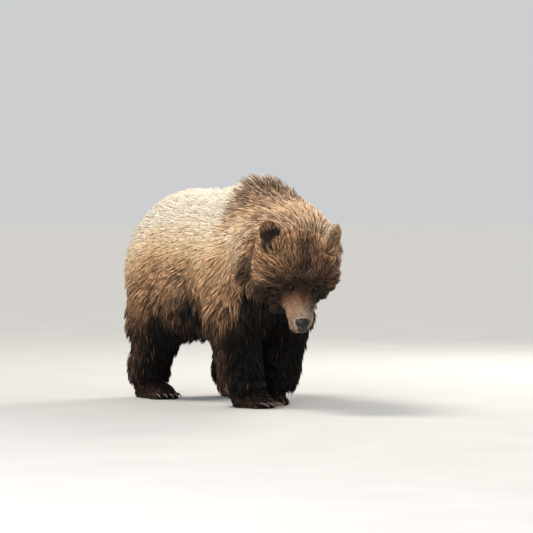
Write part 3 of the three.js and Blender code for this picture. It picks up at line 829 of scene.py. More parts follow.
def ear_marking(result, points, normals, nodes, colours):
    """Dark hollows and paler rims on the ears."""
    for tag, sign in SIDES:
        mine = nodes == FLESH.index(f"ear_{tag}")
        if not mine.any():
            continue
        ear = EARS[sign]
        back, fringe = (np.array(getattr(colours, ear[key])) for key in ("back", "fringe"))
        tip, sideways, facing = on_ear(in_head(points[mine]), normals[mine], sign)
        edge = ear_edge(tip, sideways)
        shade = np.tile(back, (int(mine.sum()), 1))
        rim = rise(0.50, 0.75, edge) * rise(-0.6, 0.1, facing) * rise(-0.02, 0.01, tip)
        shade += (fringe - shade) * rim[:, None] * ear["fringed"]
        crest = ear["crest"] * rise(0.030, 0.052, tip)
        shade += (np.array(colours.tan) - shade) * crest[:, None]
        hollow = rise(0.95, 0.70, edge) * rise(0.0, 0.4, facing) * ear["hollow"]
        hollow = hollow * (1 - ear["fades"] * rise(0.000, 0.030, tip))
        shade += (np.array(colours.ear_inside) - shade) * hollow[:, None]
        root = rise(-0.02, -0.05, tip)[:, None]
        result[mine] = shade + (result[mine] - shade) * root
    return result


# ---------- The skin ----------

TOE_RADIUS = 0.0125
LID_THICKNESS = 0.0017
SOLE_TOP = 0.03  # the soles are under this height


def keep_largest(obj):
    """Removes every part of the mesh that isn't joined to the largest."""
    edges = edges_of(obj.data)
    label = np.arange(len(obj.data.vertices))
    while True:
        low = np.minimum(label[edges[:, 0]], label[edges[:, 1]])
        before = label.copy()
        np.minimum.at(label, edges[:, 0], low)
        np.minimum.at(label, edges[:, 1], low)
        label = label[label]
        if (label == before).all():
            break
    values, counts = np.unique(label, return_counts=True)
    if len(values) == 1:
        return
    select_only(obj, "VERT", label != values[counts.argmax()])
    bpy.ops.mesh.delete(type="VERT")
    bpy.ops.object.mode_set(mode="OBJECT")


def flesh_tree():
    """A search tree over the flesh solids, and which node each of its triangles is in."""
    points, faces, owner = [], [], []
    for number, node in enumerate(FLESH):
        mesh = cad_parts[node].data
        start = len(points)
        points.extend(v.co for v in mesh.vertices)
        for polygon in mesh.polygons:
            faces.append([start + v for v in polygon.vertices])
            owner.append(number)
    return BVHTree.FromPolygons(points, faces), np.array(owner)


def nearest_nodes(points, tree, owner):
    return owner[np.array([tree.find_nearest(p)[2] for p in points.tolist()])]


def toe_roots():
    """The end of each claw that lies in its toe: the middle of its back third."""
    roots = []
    for node in TOES:
        co = points_of(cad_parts[node].data)
        high = co[co[:, 2] > co[:, 2].max() - 0.012]
        distance = np.linalg.norm(high - paw_middle(node), axis=1)
        roots.append(high[distance < distance.min() + 0.012].mean(axis=0))
    return roots


def eye_frame_points(h, side):
    """Head-frame points about one eye: outwards, backwards and up from the middle of its eyeball."""
    return np.stack([h[:, 0] * side - EYE_SIDE, h[:, 1], h[:, 2]], axis=1)


# The opening between the lids: half its length and height, how far its middle is raised, in metres, and its
# slope outwards.
LID = {"long": 0.0115, "tall": 0.0084, "slant": 0.03, "up": 0.0042}


def lid_distance(out, up):
    """1 on the edge of the opening between the lids, and less inside it."""
    level = up - LID["slant"] * out - LID["up"]
    tall = LID["tall"] * (1 - 0.25 * np.clip(-out / LID["long"], 0, 1))
    return np.sqrt((out / LID["long"]) ** 2 + (level / tall) ** 2)


def sculpt_head(points, normals, sizes):
    """Brows, lids, folds, lips and philtrum, moved in the head's own frame."""
    h = in_head(points)
    n = turned_in_head(normals)
    front = rise(0.09, 0.05, h[:, 1]) * (n[:, 1] < 0.3)
    radius, middle_back = sizes.eye_radius, sizes.eye_sunk
    over_eye = radius + LID_THICKNESS
    for _, side in SIDES:
        out, back, up = eye_frame_points(h, side).T
        away = np.hypot(out, up)
        # The brow overhangs the outer half of the eye; the inner corner lies in a hollow beside the bridge.
        brow = near(up, 0.022 + 0.10 * out, 0.0080) * near(out, 0.003, 0.022)
        hollow = near(out, -0.019, 0.010) * near(up, -0.006, 0.013)
        bag = near(up, -0.0155, 0.004) * near(out, 0.0, 0.015)
        h[:, 1] += front * (-0.0025 * brow + 0.0030 * hollow - 0.0010 * bag)
        # Round the eyeball the skin is drawn over it as lids, with a crease where the upper lid folds.
        near_eye = (away < 0.024) & (front > 0) & (back < 0.02)
        dome = middle_back - np.sqrt(np.maximum(over_eye**2 - away**2, 0))
        lid = lid_distance(out, up)
        weight = rise(radius + 0.0075, radius - 0.001, away) * near_eye
        face = h[:, 1]
        lidded = np.where(away < over_eye, np.minimum(dome, face + 0.004), face)
        h[:, 1] = face + (lidded - face) * weight
        h[:, 1] += 0.0014 * (near(lid, 1.75, 0.16) * (up > 0) * near_eye)
        h[:, 1] -= 0.0008 * (near(lid, 1.10, 0.13) * near_eye)
        # Inside the opening it goes behind the eyeball, and its edge is drawn to the opening.
        inside = near_eye & (lid < 1)
        h[inside, 1] = middle_back + 0.004
        edge = near_eye & (lid >= 1) & (lid < 1.16)
        shrink = 1 / np.maximum(lid[edge], 1e-6)
        h[edge, 0] = side * (EYE_SIDE + out[edge] * shrink)
        raised = LID["up"] + LID["slant"] * out[edge]
        h[edge, 2] = raised + (up[edge] - raised) * shrink
    # Lips, philtrum and whisker pads.
    mouth = lip_line(h[:, 1])
    along = rise(0.035, 0.0, h[:, 1])
    groove = near(h[:, 2], mouth, 0.0022) * along
    upper = near(h[:, 2], mouth + 0.006, 0.0045) * along
    lower = near(h[:, 2], mouth - 0.006, 0.004) * along
    philtrum = near(h[:, 0], 0, 0.0022) * rise(-0.11, -0.13, h[:, 1]) * (h[:, 2] < -0.055)
    push = -0.0032 * groove + 0.0013 * upper + 0.0006 * lower - 0.002 * philtrum
    whisker_pad = near(h[:, 1], -0.10, 0.025) * near(np.abs(h[:, 0]), 0.036, 0.012)
    push = push + 0.0025 * (whisker_pad * near(h[:, 2], -0.066, 0.014))
    return from_head(h + n * push[:, None])


def remesh(obj, voxel):
    """One closed mesh on a regular grid."""
    apply_modifier(obj, "REMESH", mode="VOXEL", voxel_size=voxel)
    keep_largest(obj)


def subdivide_where(obj, chosen):
    select_only(obj, "FACE", chosen)
    bpy.ops.mesh.subdivide(number_cuts=1, smoothness=0.0)
    bpy.ops.object.mode_set(mode="OBJECT")


class BEAR_OT_skin(bpy.types.Operator):
    """Draw one skin over all the flesh, inside the solids by the coat's depth"""

    bl_idname = "bear.skin"
    bl_label = "Skin"
    bl_options = {"REGISTER", "UNDO"}

    def execute(self, context):
        sizes, colours = context.scene.bear_sizes, context.scene.bear_colours
        parts = [merged_copy(node, f"part_{node}") for node in FLESH + ["nose"]]
        # Round toes, from which the claws grow.
        for root in toe_roots():
            deselect()
            bpy.ops.mesh.primitive_uv_sphere_add(segments=12, ring_count=8, radius=TOE_RADIUS, location=root)
            bake_place(context.object)
            parts.append(context.object)
        skin = joined(parts, "bear_skin")
        remesh(skin, sizes.voxel)
        tree, owner = flesh_tree()

        # Smooth away the solids' facets, least where the form is small.
        points, edges = points_of(skin.data), edges_of(skin.data)
        nodes = nearest_nodes(points, tree, owner)
        zone = zones_at(points, normals_of(skin.data), nodes)
        soft = {"ear": 0.12, "muzzle": 0.35, "jaw": 0.45, "paw": 0.22, "face": 0.5, "head": 0.8}
        share = np.array([soft.get(name, 1.0) for name in ZONES])[zone]
        share = np.where(in_zones(zone, "paw") & (points[:, 2] > 0.055), 0.9, share)
        share = spread(share, edges, 8)[:, None]
        points = smooth_form(points, edges, 60, share)
        # The sockets that the eyes' solids sit in are smoothed away.
        h = in_head(points)
        for _, side in SIDES:
            out, back, up = eye_frame_points(h, side).T
            socket = (np.hypot(out - 0.003, up) < 0.027) & (back < 0.03)
            for _ in range(60):
                points[socket] = neighbour_mean(points, edges)[socket]
        set_points(skin.data, points)

        # In by the depth of the coat, but not on the soles.
        normals = normals_of(skin.data)
        depth = COAT_TABLE[zone, DEPTH]
        close = spread(depth, edges, 10)
        depth = spread(depth, edges, 24)
        sole = rise(-0.55, -0.85, normals[:, 2]) * (points[:, 2] < SOLE_TOP)
        depth = depth * (1 - sole)
        normals = unit(spread(normals, edges, 6))
        # The muzzle has already been drawn in by the smoothing; that is given back, except about the nose.
        snout = in_zones(zone, "muzzle", "jaw").astype(float)
        snout = spread(snout, edges, 4) * rise(1.0, 1.5, nose_distance(in_head(points)))
        drawn = np.zeros(len(points))
        for i in np.flatnonzero(snout > 0.05):
            drawn[i] = min(tree.ray_cast(points[i].tolist(), normals[i].tolist(), 0.03)[3] or 0, 0.014)
        depth = depth + snout * (close - depth - spread(drawn, edges, 5))
        points = points - normals * depth[:, None]
        set_points(skin.data, points)
        remesh(skin, sizes.voxel)
        points, edges = points_of(skin.data), edges_of(skin.data)
        set_points(skin.data, smooth_form(points, edges, 6, 0.6))

        # Finer round the face, and finest at the eyes.
        centre = in_head(face_centres(skin.data))
        subdivide_where(skin, (centre[:, 1] < 0.06) & (np.abs(centre[:, 0]) < 0.1) & (centre[:, 2] > -0.15))
        for reach in (0.034, 0.026):
            centre = in_head(face_centres(skin.data))
            around = np.hypot(np.abs(centre[:, 0]) - EYE_SIDE, centre[:, 2])
            subdivide_where(skin, (around < reach) & (centre[:, 1] < 0.03))
        points = sculpt_head(points_of(skin.data), normals_of(skin.data), sizes)
        points[:, 2] = np.maximum(points[:, 2], 0)
        set_points(skin.data, points)
        smooth_shaded(skin)

        # What the coat is grown from: the node, the region and the lie at each vertex.
        mesh = skin.data
        points, normals, edges = points_of(mesh), normals_of(mesh), edges_of(mesh)
        nodes = nearest_nodes(points, tree, owner)
        zone = zones_at(points, normals, nodes)
        lie = lie_at(points, normals, zone)
        lie = tangent(spread(lie, edges, 26), normals)
        write_attribute(mesh, "node", nodes, "INT")
        write_attribute(mesh, "zone", zone, "INT")
        write_attribute(mesh, "lie", lie, "FLOAT_VECTOR")
        # The skin is darker than its coat where the coat is deep, and most where it is dark: painted shade
        # under the coat.
        tone = marking(points, normals, colours)
        tone = ear_marking(tone, points, normals, nodes, colours)
        coat_shade = spread(np.clip(COAT_TABLE[zone, DEPTH] / 0.03, 0, 1), edges, 8)
        bright = tone.mean(axis=1)
        tone = tone * (1 - (0.55 - 0.50 * bright) * coat_shade)[:, None]
        tone = bare_places(tone, points, normals, colours)
        write_attribute(mesh, "tone", tone, "FLOAT_COLOR")
        finish_piece(skin, hide(), "coat_back", *FLESH)
        return {"FINISHED"}


def bare_places(tone, points, normals, colours):
    """The soles and the rims of the lids are bare, dark skin."""
    sole = (rise(-0.5, -0.85, normals[:, 2]) * rise(SOLE_TOP, 0.015, points[:, 2]))[:, None]
    tone = tone + (np.array(colours.pad) - tone) * sole
    h = in_head(points)
    for _, side in SIDES:
        out, back, up = eye_frame_points(h, side).T
        rim = (rise(1.40, 1.15, lid_distance(out, up)) * rise(0.03, 0.015, back))[:, None]
        tone = tone + (np.array(colours.nose) * 1.3 - tone) * rim
    return tone


# ---------- Eyes, nose and claws ----------

NOSE_GRID = 0.0016


class BEAR_OT_eyes(bpy.types.Operator):
    """Set two eyeballs, each with a bulging cornea, behind the lids"""

    bl_idname = "bear.eyes"
    bl_label = "Eyes"
    bl_options = {"REGISTER", "UNDO"}

    def execute(self, context):
        sizes, colours = context.scene.bear_sizes, context.scene.bear_colours
        material = eyeball(colours)
        for tag, side in SIDES:
            deselect()
            bpy.ops.mesh.primitive_uv_sphere_add(segments=48, ring_count=32, radius=sizes.eye_radius)
            eye = context.object
            eye.name = eye.data.name = f"eyeball_{tag}"
            # Which way the eye looks, in the head's own frame.
            axis = Vector((side * 0.26, -0.80, 0.66)).normalized()
            eye.data.transform(Vector((0, 0, 1)).rotation_difference(axis).to_matrix().to_4x4())
            points = points_of(eye.data)
            cosine = unit(points) @ np.array(axis)
            off_axis = np.arccos(np.clip(cosine, -1, 1)) / math.pi * 2
            # The cornea bulges over the iris.
            bulge = 0.0011 * rise(0.42, 0.0, off_axis)
            points = points + np.array(axis) * bulge[:, None]
            points = points + np.array((side * EYE_SIDE, sizes.eye_sunk, 0))
            set_points(eye.data, from_head(points))
            write_attribute(eye.data, "off_axis", off_axis, "FLOAT")
            smooth_shaded(eye)
            finish_piece(eye, material, "eye", f"eye_{tag}")
        return {"FINISHED"}


class BEAR_OT_nose(bpy.types.Operator):
    """Model the nose leather with its comma-shaped nostrils"""

    bl_idname = "bear.nose"
    bl_label = "Nose leather"
    bl_options = {"REGISTER", "UNDO"}

    def execute(self, context):
        nose = merged_copy("nose", "nose_leather")
        apply_modifier(nose, "REMESH", mode="VOXEL", voxel_size=NOSE_GRID)
        points, edges = points_of(nose.data), edges_of(nose.data)
        points = smooth_form(points, edges, 30, 0.9)
        set_points(nose.data, points)
        h = in_head(points)
        n = turned_in_head(normals_of(nose.data))
        # How far each point goes in, in metres: the nostrils, and the groove between them.
        inward = np.zeros(len(h))
        forward = rise(0.1, -0.4, n[:, 1])
        for _, side in SIDES:
            # A round hole with a raised wing about it, and a slit that curls back from it.
            x, z = h[:, 0] * side, h[:, 2]
            hole = np.hypot((x - 0.0125) / 0.0062, (z + 0.0505) / 0.0055)
            inward += 0.0105 * rise(1.25, 0.45, hole) * forward
            slit = near(z, -0.0475 + 0.10 * (x - 0.014), 0.0021) * rise(0.012, 0.017, x)
            slit = slit * rise(0.031, 0.024, x)
            inward += 0.0055 * slit * (n[:, 1] < 0.4)
            inward -= 0.0011 * near(hole, 1.7, 0.35) * forward
        inward += 0.0022 * near(h[:, 0], 0, 0.0016) * forward * rise(-0.042, -0.052, h[:, 2])
        h = h - n * inward[:, None]
        h[:, 2] += 0.16 * np.minimum(h[:, 2] + 0.052, 0)
        set_points(nose.data, from_head(h))
        smooth_shaded(nose)
        finish_piece(nose, nose_leather(context.scene.bear_colours), "nose_leather", "nose")
        return {"FINISHED"}


class BEAR_OT_claws(bpy.types.Operator):
    """Round and grade the twenty claws"""

    bl_idname = "bear.claws"
    bl_label = "Claws"
    bl_options = {"REGISTER", "UNDO"}

    def execute(self, context):
        material = horn(context.scene.bear_colours)
        for node in TOES:
            claw = merged_copy(node, node.replace("claw", "horn"))
            paw = paw_middle(node)
            apply_modifier(claw, "SUBSURF", levels=2, render_levels=2)
            points = points_of(claw.data)
            distance = np.linalg.norm(points[:, :2] - paw[:2], axis=1)
            along = rise(distance.min(), distance.max(), distance)
            centre = points.mean(axis=0)
            points = centre + (points - centre) * (1.03, 1.03, 1.06)
            points[:, 2] = np.maximum(points[:, 2], 0.0002)
            set_points(claw.data, points)
            write_attribute(claw.data, "along", along, "FLOAT")
            smooth_shaded(claw)
            finish_piece(claw, material, "claw_horn", node)
        return {"FINISHED"}


# ---------- The coat ----------

# The rings of a tuft: how far along it each is, how high in the coat, and how wide, as shares of the tuft's.
TUFT_STEPS = np.array((0.0, 0.36, 0.70, 1.0))
TUFT_HEIGHTS = np.array((-0.06, 0.46, 0.80, 1.0))
TUFT_WIDTHS = np.array((0.75, 1.0, 0.66, 0.0))
# Which of the rings long and short tufts have, and how far each is drawn towards the middle of its lock.
RINGS = {"long": [0, 1, 2, 3], "short": [0, 1, 3]}
GATHERED = {1: 0.28, 2: 0.68, 3: 1.0}
SHORT = 0.022  # tufts under this length are short
PATCH = 0.003  # a tuft's patch on the bake's map
FLOOR_GAP, LOWEST_LINE = 0.0005, 0.0012  # no tuft's surface, and no tuft's middle line, is lower
UNDERFUR = 0.42  # this share of the tufts
MOST_TRIANGLES = 200000  # in a piece
# Where the body's coat is divided, along it from its origin.
SHOULDER_END, FLANK_END = -0.12, 0.24
# Each piece's slot, by how its name starts; the others have coat_back's.
COAT_SLOTS = {
    "coat_head": "coat_head", "coat_face": "coat_muzzle", "coat_ears": "coat_ears",
    "coat_neck": "coat_neck", "coat_fore": "coat_legs", "coat_hind": "coat_legs",
}


def coat_piece(zone, node, points):
    """The name of the coat piece that each point is in."""
    y = points[:, 1] - BODY_ORIGIN[1]
    flesh, neck = np.array(FLESH)[node], in_zones(zone, "neck")
    part = np.where(y < SHOULDER_END, "coat_shoulder", np.where(y < FLANK_END, "coat_flank", "coat_rump"))
    part = np.where(neck, "coat_neck", part)
    hand = np.where(points[:, 0] < BODY_ORIGIN[0] - 0.04 * neck, "_r", "_l")
    names = np.char.add(part, hand).astype(object)
    head = in_zones(zone, "head", "cheek")
    names[head] = np.where(in_head(points)[:, 0] < 0, "coat_head_r", "coat_head_l")[head]
    names[in_zones(zone, "face", "muzzle", "jaw")] = "coat_face"
    names[in_zones(zone, "ear")] = "coat_ears"
    limb = in_zones(zone, "upper_leg", "lower_leg", "paw")
    for leg in ("foreleg_r", "foreleg_l", "hindleg_r", "hindleg_l"):
        paw = f"paw_{leg.replace('leg', '')}"
        names[limb & (np.char.startswith(flesh, leg) | (flesh == paw))] = f"coat_{leg}"
    return names.astype(str)


def bald(points, normals):
    """0 where nothing grows: on the soles, in the eyes, on the lips' edge and under the nose leather."""
    grows = np.ones(len(points))
    grows *= 1 - rise(-0.45, -0.75, normals[:, 2]) * rise(0.035, 0.02, points[:, 2])
    h = in_head(points)
    for _, side in SIDES:
        out, back, up = eye_frame_points(h, side).T
        grows *= 1 - rise(1.40, 1.25, lid_distance(out, up)) * (back < 0.03)
    grows *= rise(0.95, 1.05, nose_distance(h))
    grows *= 1 - near(h[:, 2], lip_line(h[:, 1]), 0.0025) * rise(0.03, 0.0, h[:, 1])
    return grows


def unwrap_zone(points, triangles):
    """An unwrap of these triangles by their own shape, as three UV corners each."""
    used, corners = np.unique(triangles, return_inverse=True)
    mesh = bpy.data.meshes.new("unwrap")
    mesh.from_pydata(points[used].tolist(), [], corners.reshape(-1, 3).tolist())
    obj = new_object("unwrap", mesh)
    make_active(obj)
    mesh.uv_layers.new(name="OFBake")
    bpy.ops.object.mode_set(mode="EDIT")
    bpy.ops.mesh.select_all(action="SELECT")
    bpy.ops.uv.smart_project(angle_limit=math.radians(66), island_margin=0.006)
    bpy.ops.object.mode_set(mode="OBJECT")
    uv = np.empty(len(mesh.loops) * 2, np.float32)
    mesh.uv_layers["OFBake"].uv.foreach_get("vector", uv)
    bpy.data.objects.remove(obj)
    bpy.data.meshes.remove(mesh)
    return uv.reshape(-1, 3, 2)


def tuft_faces(rings):
    """The triangles of one closed tuft: three-sided rings, a cap at the root and a point at the tip."""
    faces = [(0, 2, 1)]
    for ring in range(rings - 1):
        a, b = 3 * ring, 3 * ring + 3
        for s in range(3):
            t = (s + 1) % 3
            faces += [(a + s, a + t, b + t), (a + s, b + t, b + s)]
    last = 3 * (rings - 1)
    faces += [(last + s, last + (s + 1) % 3, last + 3) for s in range(3)]
    return np.array(faces)


def tuft_mesh(name, centres, across, over, widths, tones, strand, root_uv, steps):
    """A mesh of closed three-sided tufts. centres, across, over and tones are (tufts, rings + 1, 3)."""
    count, levels = centres.shape[:2]
    rings = levels - 1
    # The corners of a ring, across and over the tuft, in its widths.
    turns = np.array(((-0.5, -0.16), (0.5, -0.16), (0.0, 0.36)))
    ring_points = (
        centres[:, :rings, None, :]
        + across[:, :rings, None, :] * turns[None, None, :, :1] * widths[:, :rings, None, None]
        + over[:, :rings, None, :] * turns[None, None, :, 1:] * widths[:, :rings, None, None]
    )
    each = 3 * rings + 1
    points = np.concatenate([ring_points.reshape(count, 3 * rings, 3), centres[:, rings:, :]], axis=1)
    points[:, :, 2] = np.maximum(points[:, :, 2], FLOOR_GAP)
    faces = tuft_faces(rings)
    corners = (faces[None] + each * np.arange(count)[:, None, None]).reshape(-1)
    mesh = bpy.data.meshes.new(name)
    mesh.vertices.add(count * each)
    mesh.vertices.foreach_set("co", points.astype(np.float32).ravel())
    total = count * len(faces)
    mesh.loops.add(total * 3)
    mesh.loops.foreach_set("vertex_index", corners.astype(np.int32))
    mesh.polygons.add(total)
    mesh.polygons.foreach_set("loop_start", np.arange(0, total * 3, 3, dtype=np.int32))
    mesh.polygons.foreach_set("use_smooth", np.ones(total, bool))
    # The patch: round the tuft is one way, and from root to tip the other.
    local = np.zeros((len(faces), 3, 2))
    for f, face in enumerate(faces):
        for c, v in enumerate(face):
            ring, s = (rings, 1) if v == each - 1 else divmod(int(v), 3)
            closing = f > 0 and s == 0 and any(int(u) % 3 == 2 and u != each - 1 for u in face)
            local[f, c] = ((3 if closing else s) / 3, ring / rings)
    local[0] = ((0, 0), (0.5, 0.12), (1, 0))
    uv = root_uv[:, None, None, :] + (local[None] - 0.5) * PATCH
    mesh.uv_layers.new(name="OFBake")
    mesh.update(calc_edges=True)
    mesh.uv_layers["OFBake"].uv.foreach_set("vector", np.clip(uv, 0, 1).astype(np.float32).ravel())
    tones = np.concatenate([np.repeat(tones[:, :rings], 3, axis=1), tones[:, rings:]], axis=1)
    write_attribute(mesh, "tone", tones.reshape(-1, 3), "FLOAT_COLOR")
    # The streaks run on round the tuft from corner to corner.
    lateral = np.concatenate([np.tile((0.0, 4.0, 2.0), rings), (2.0,)])
    write_attribute(mesh, "strand", (lateral[None] + strand[:, None]).ravel(), "FLOAT")
    along = np.concatenate([np.repeat(steps[:rings], 3), steps[rings:]])
    write_attribute(mesh, "along", np.tile(along, count), "FLOAT")
    mesh.validate()
    return mesh


def drape(surface, root, heading, normal, run, top):
    """Each tuft's middle line, which follows the skin under it, with its heading and its upward way."""
    points, normals, triangles, lie = surface
    tree = BVHTree.FromPolygons(points.tolist(), triangles.tolist())
    centres, headings, upwards = (np.zeros((len(root), len(TUFT_STEPS), 3)) for _ in range(3))
    place, way, up = root, heading, normal
    for level, height in enumerate(TUFT_HEIGHTS):
        if level:
            step = run * (TUFT_STEPS[level] - TUFT_STEPS[level - 1])
            hits = [tree.find_nearest(p) for p in (place + way * step[:, None]).tolist()]
            place = np.array([hit[0] for hit in hits])
            face = triangles[[hit[2] for hit in hits]]
            up = unit(normals[face].mean(axis=1))
            lie_here = tangent(lie[face].mean(axis=1), up)
            way = tangent(0.55 * tangent(way, up) + 0.45 * lie_here, up)
        centres[:, level] = place + up * (top * height)[:, None]
        headings[:, level], upwards[:, level] = way, up
    return centres, headings, upwards


def locks_of(middles, leaders):
    """Which lock each tuft is in: the one whose leader is nearest to it."""
    tree = KDTree(len(leaders))
    for lock, leader in enumerate(leaders):
        tree.insert(middles[leader], lock)
    tree.balance()
    return np.array([tree.find(p)[1] for p in middles.tolist()])


def tuft_tones(rng, tone, root, normal, lock_shade, under, pale, colours):
    """The colour of each tuft at each of its rings: no two are alike, and deep tufts are darker."""
    count = len(root)
    outer = rise(0.1, 0.6, outward(root[:, 0] - BODY_ORIGIN[0], normal))
    russet = rng.uniform(0, 1, count) < (0.04 + 0.26 * outer) * rise(0.46, 0.38, root[:, 2])
    tone = tone + (np.array(colours.russet) - tone) * (russet * rng.uniform(0.15, 0.55, count))[:, None]
    vary = 0.62 - 0.51 * pale
    shade = np.exp(lock_shade + rng.normal(0, 1, count) * vary - vary**2 / 2)
    shade = shade * np.where(under, 0.60 + 0.38 * pale, 1.14 - 0.11 * pale)
    warm = rng.normal(0, 0.035, count)[:, None] * np.array((1, 0, -1))
    tone = tone * np.clip(shade, 0.3, 2.2)[:, None] * (1 + warm)
    gain = 1 + (tip_gain(root, normal) * rng.uniform(0.85, 1.2, count) - 1) * (1 - 0.7 * pale)
    fade = np.stack([0.34 + 0.60 * pale, 0.76 + 0.23 * pale, np.ones(count), gain], axis=1)
    tones = tone[:, None, :] * fade[:, :, None]
    # Brown hair's worn tips are paler and less brown.
    worn = tones.mean(axis=2, keepdims=True) * np.array((1.42, 0.97, 0.61))
    share_worn = np.array((0.0, 0.10, 0.25, 0.45))[None, :] * (1 - pale)[:, None]
    tones = tones + (worn - tones) * share_worn[:, :, None]
    return tones * np.minimum(1, 0.90 / tones.max(axis=2, keepdims=True))


def ring_ways(centres, upwards, roll, pale):
    """Across and over each tuft at each ring, rolled about its line, and flatter where the coat is pale."""
    line = unit(np.gradient(centres, axis=1))
    across = unit(np.cross(line, upwards))
    over = np.cross(across, line)
    turn, lean = np.cos(roll)[:, None, None], np.sin(roll)[:, None, None]
    return across * turn + over * lean, (over * turn - across * lean) * (1 - 0.5 * pale)[:, None, None]


class BEAR_OT_coat(bpy.types.Operator):
    """Grow the coat: tufts that follow its lie, drawn together into locks"""

    bl_idname = "bear.coat"
    bl_label = "Coat"
    bl_options = {"REGISTER", "UNDO"}

    def execute(self, context):
        sizes, colours = context.scene.bear_sizes, context.scene.bear_colours
        skin = bpy.data.objects["bear_skin"].data
        rng = np.random.default_rng(sizes.seed)
        points, normals, triangles = points_of(skin), normals_of(skin), triangles_of(skin)
        zone, node = read_attribute(skin, "zone", 1), read_attribute(skin, "node", 1)
        lie = read_attribute(skin, "lie", 3).astype(float)
        settings = spread(COAT_TABLE[zone], edges_of(skin), 10)
        grows = bald(points, normals)

        # Roots, spread by how crowded each region is.
        corner = points[triangles]
        spans = np.cross(corner[:, 1] - corner[:, 0], corner[:, 2] - corner[:, 0])
        share = np.linalg.norm(spans, axis=1) / 2
        share = share * settings[:, CROWD][triangles].mean(axis=1) * grows[triangles].mean(axis=1)
        reach = np.cumsum(share) * sizes.tufts / share.sum()
        count = int(reach[-1])
        picked = np.searchsorted(reach, np.arange(count) + rng.uniform(0, 1, count))
        picked = np.clip(picked, 0, len(triangles) - 1)
        mix = rng.dirichlet((1, 1, 1), count)
        at = triangles[picked]
        nearest = at[np.arange(count), mix.argmax(axis=1)]
        root, normal, heading, setting = (
            np.einsum("ij,ijk->ik", mix, values[at]) for values in (points, normals, lie, settings)
        )
        normal = unit(normal)
        heading = tangent(heading, normal)
        depth, length, width, _, pull, apart = setting.T
        region = zone[nearest]
        x, y, z = (root - BODY_ORIGIN).T
        own_head = in_head(root)
        hx, hy, hz = own_head.T

        # The lie wavers, from lock to lock and from tuft to tuft.
        waver = 0.11 * ripple(root, 0.13, 11) + 0.06 * ripple(root, 0.04, 12) + rng.normal(0, 0.09, count)
        heading = heading * np.cos(waver)[:, None] + np.cross(normal, heading) * np.sin(waver)[:, None]
        # The pale coat of the back is smooth and even; elsewhere it parts into strands of many tones.
        pale = rise(0.30, 0.58, marking(root, normal, colours).mean(axis=1))
        pale = np.maximum(pale, 0.65 * in_zones(region, "muzzle"))

        # How long and wide each tuft is, and how high it stands. Some are the shorter, darker underfur.
        under = rng.uniform(0, 1, count) < UNDERFUR
        fringe = near(np.abs(x), 0.24, 0.10) * near(y, -0.20, 0.12) * near(z, 0.43, 0.09)
        fringe = fringe * (0.2 + 0.8 * rise(0.05, -0.05, x))
        length = length * rng.uniform(0.78, 1.18, count) * (1 + 0.30 * fringe) * np.where(under, 0.85, 1)
        # The left shoulder is trimmer.
        trim = rise(0.10, 0.20, x) * near(y, -0.24, 0.16) * near(z, 0.38, 0.11)
        length = length * (1 - 0.40 * trim)
        from_eye = np.hypot(np.abs(hx) - EYE_SIDE, hz) + 3 * np.maximum(hy - 0.02, 0)
        length = length * (0.45 + 0.55 * rise(0.014, 0.042, from_eye))
        width = width * rng.uniform(0.72, 1.29, count)
        lift = np.where(under, rng.uniform(0.45, 0.75, count), rng.uniform(0.72, 1.10, count))
        lift = lift + (np.where(under, 0.75, 1.02) - lift) * 0.40 * pale
        # Longer, higher hair round the roots of the ears, and guard hair that stands up on the hump.
        root_hair = near(np.abs(hx), 0.135, 0.040) * near(hy, 0.135, 0.040)
        root_hair = root_hair * near(hz, 0.085, 0.045) * in_zones(region, "head")
        length = length * (1 + 0.35 * root_hair)
        lift = lift * (1 + 0.6 * root_hair)
        stands = near(y, -0.40, 0.10) * rise(0.84, 0.92, z) * rise(0.2, 0.7, normal[:, 2])
        top = depth * lift * (1 + 0.45 * stands * ~under)
        # The rims of the ears are ragged.
        edges = [ear_edge(*on_ear(own_head, normal, sign)[:2]) for _, sign in SIDES]
        ragged = rng.uniform(0.003, 0.014, count) * np.where(hx > 0, 0.5, 1)
        rim = in_zones(region, "ear") & ~under
        top = top + rim * rise(0.6, 0.9, np.where(hx > 0, *edges)) * ragged
        run = np.sqrt(np.maximum(length**2 - top**2, (0.3 * length) ** 2))

        surface = (points, normals, triangles, lie)
        centres, headings, upwards = drape(surface, root, heading, normal, run, top)

        # Locks: the tufts' ends are drawn towards the middle one of their lock.
        crowd = settings[:, CROWD][nearest] * apart**2
        leader = rng.uniform(0, 1, count) < np.clip(share.sum() / sizes.tufts / crowd, 0, 1)
        leaders = np.flatnonzero(leader)
        lock = locks_of(root + heading * (length * 0.3)[:, None], leaders)
        together = pull * rng.uniform(0.6, 1.15, count) * np.where(under, 0.3, 1)
        together = np.minimum(together * (1 + 0.6 * fringe) * (1.35 - 0.65 * pale), 0.92)
        for level, amount in GATHERED.items():
            toward = centres[leaders[lock], level] - centres[:, level]
            limit = np.minimum(1, 0.9 * length / np.maximum(np.linalg.norm(toward, axis=1), 1e-6))
            centres[:, level] += toward * (together * amount * limit)[:, None]
        # Long hair low on the body hangs, and every tuft bends a little to one side.
        hang = 0.16 * length * rise(0.62, 0.40, root[:, 2]) * rise(0.03, 0.06, length)
        centres[:, 2, 2] -= 0.45 * hang
        centres[:, 3, 2] -= hang
        bend = rng.normal(0, 0.05, count) * length
        centres[:, 2] += np.cross(upwards[:, 2], headings[:, 2]) * bend[:, None]
        centres[:, :, 2] = np.maximum(centres[:, :, 2], LOWEST_LINE)

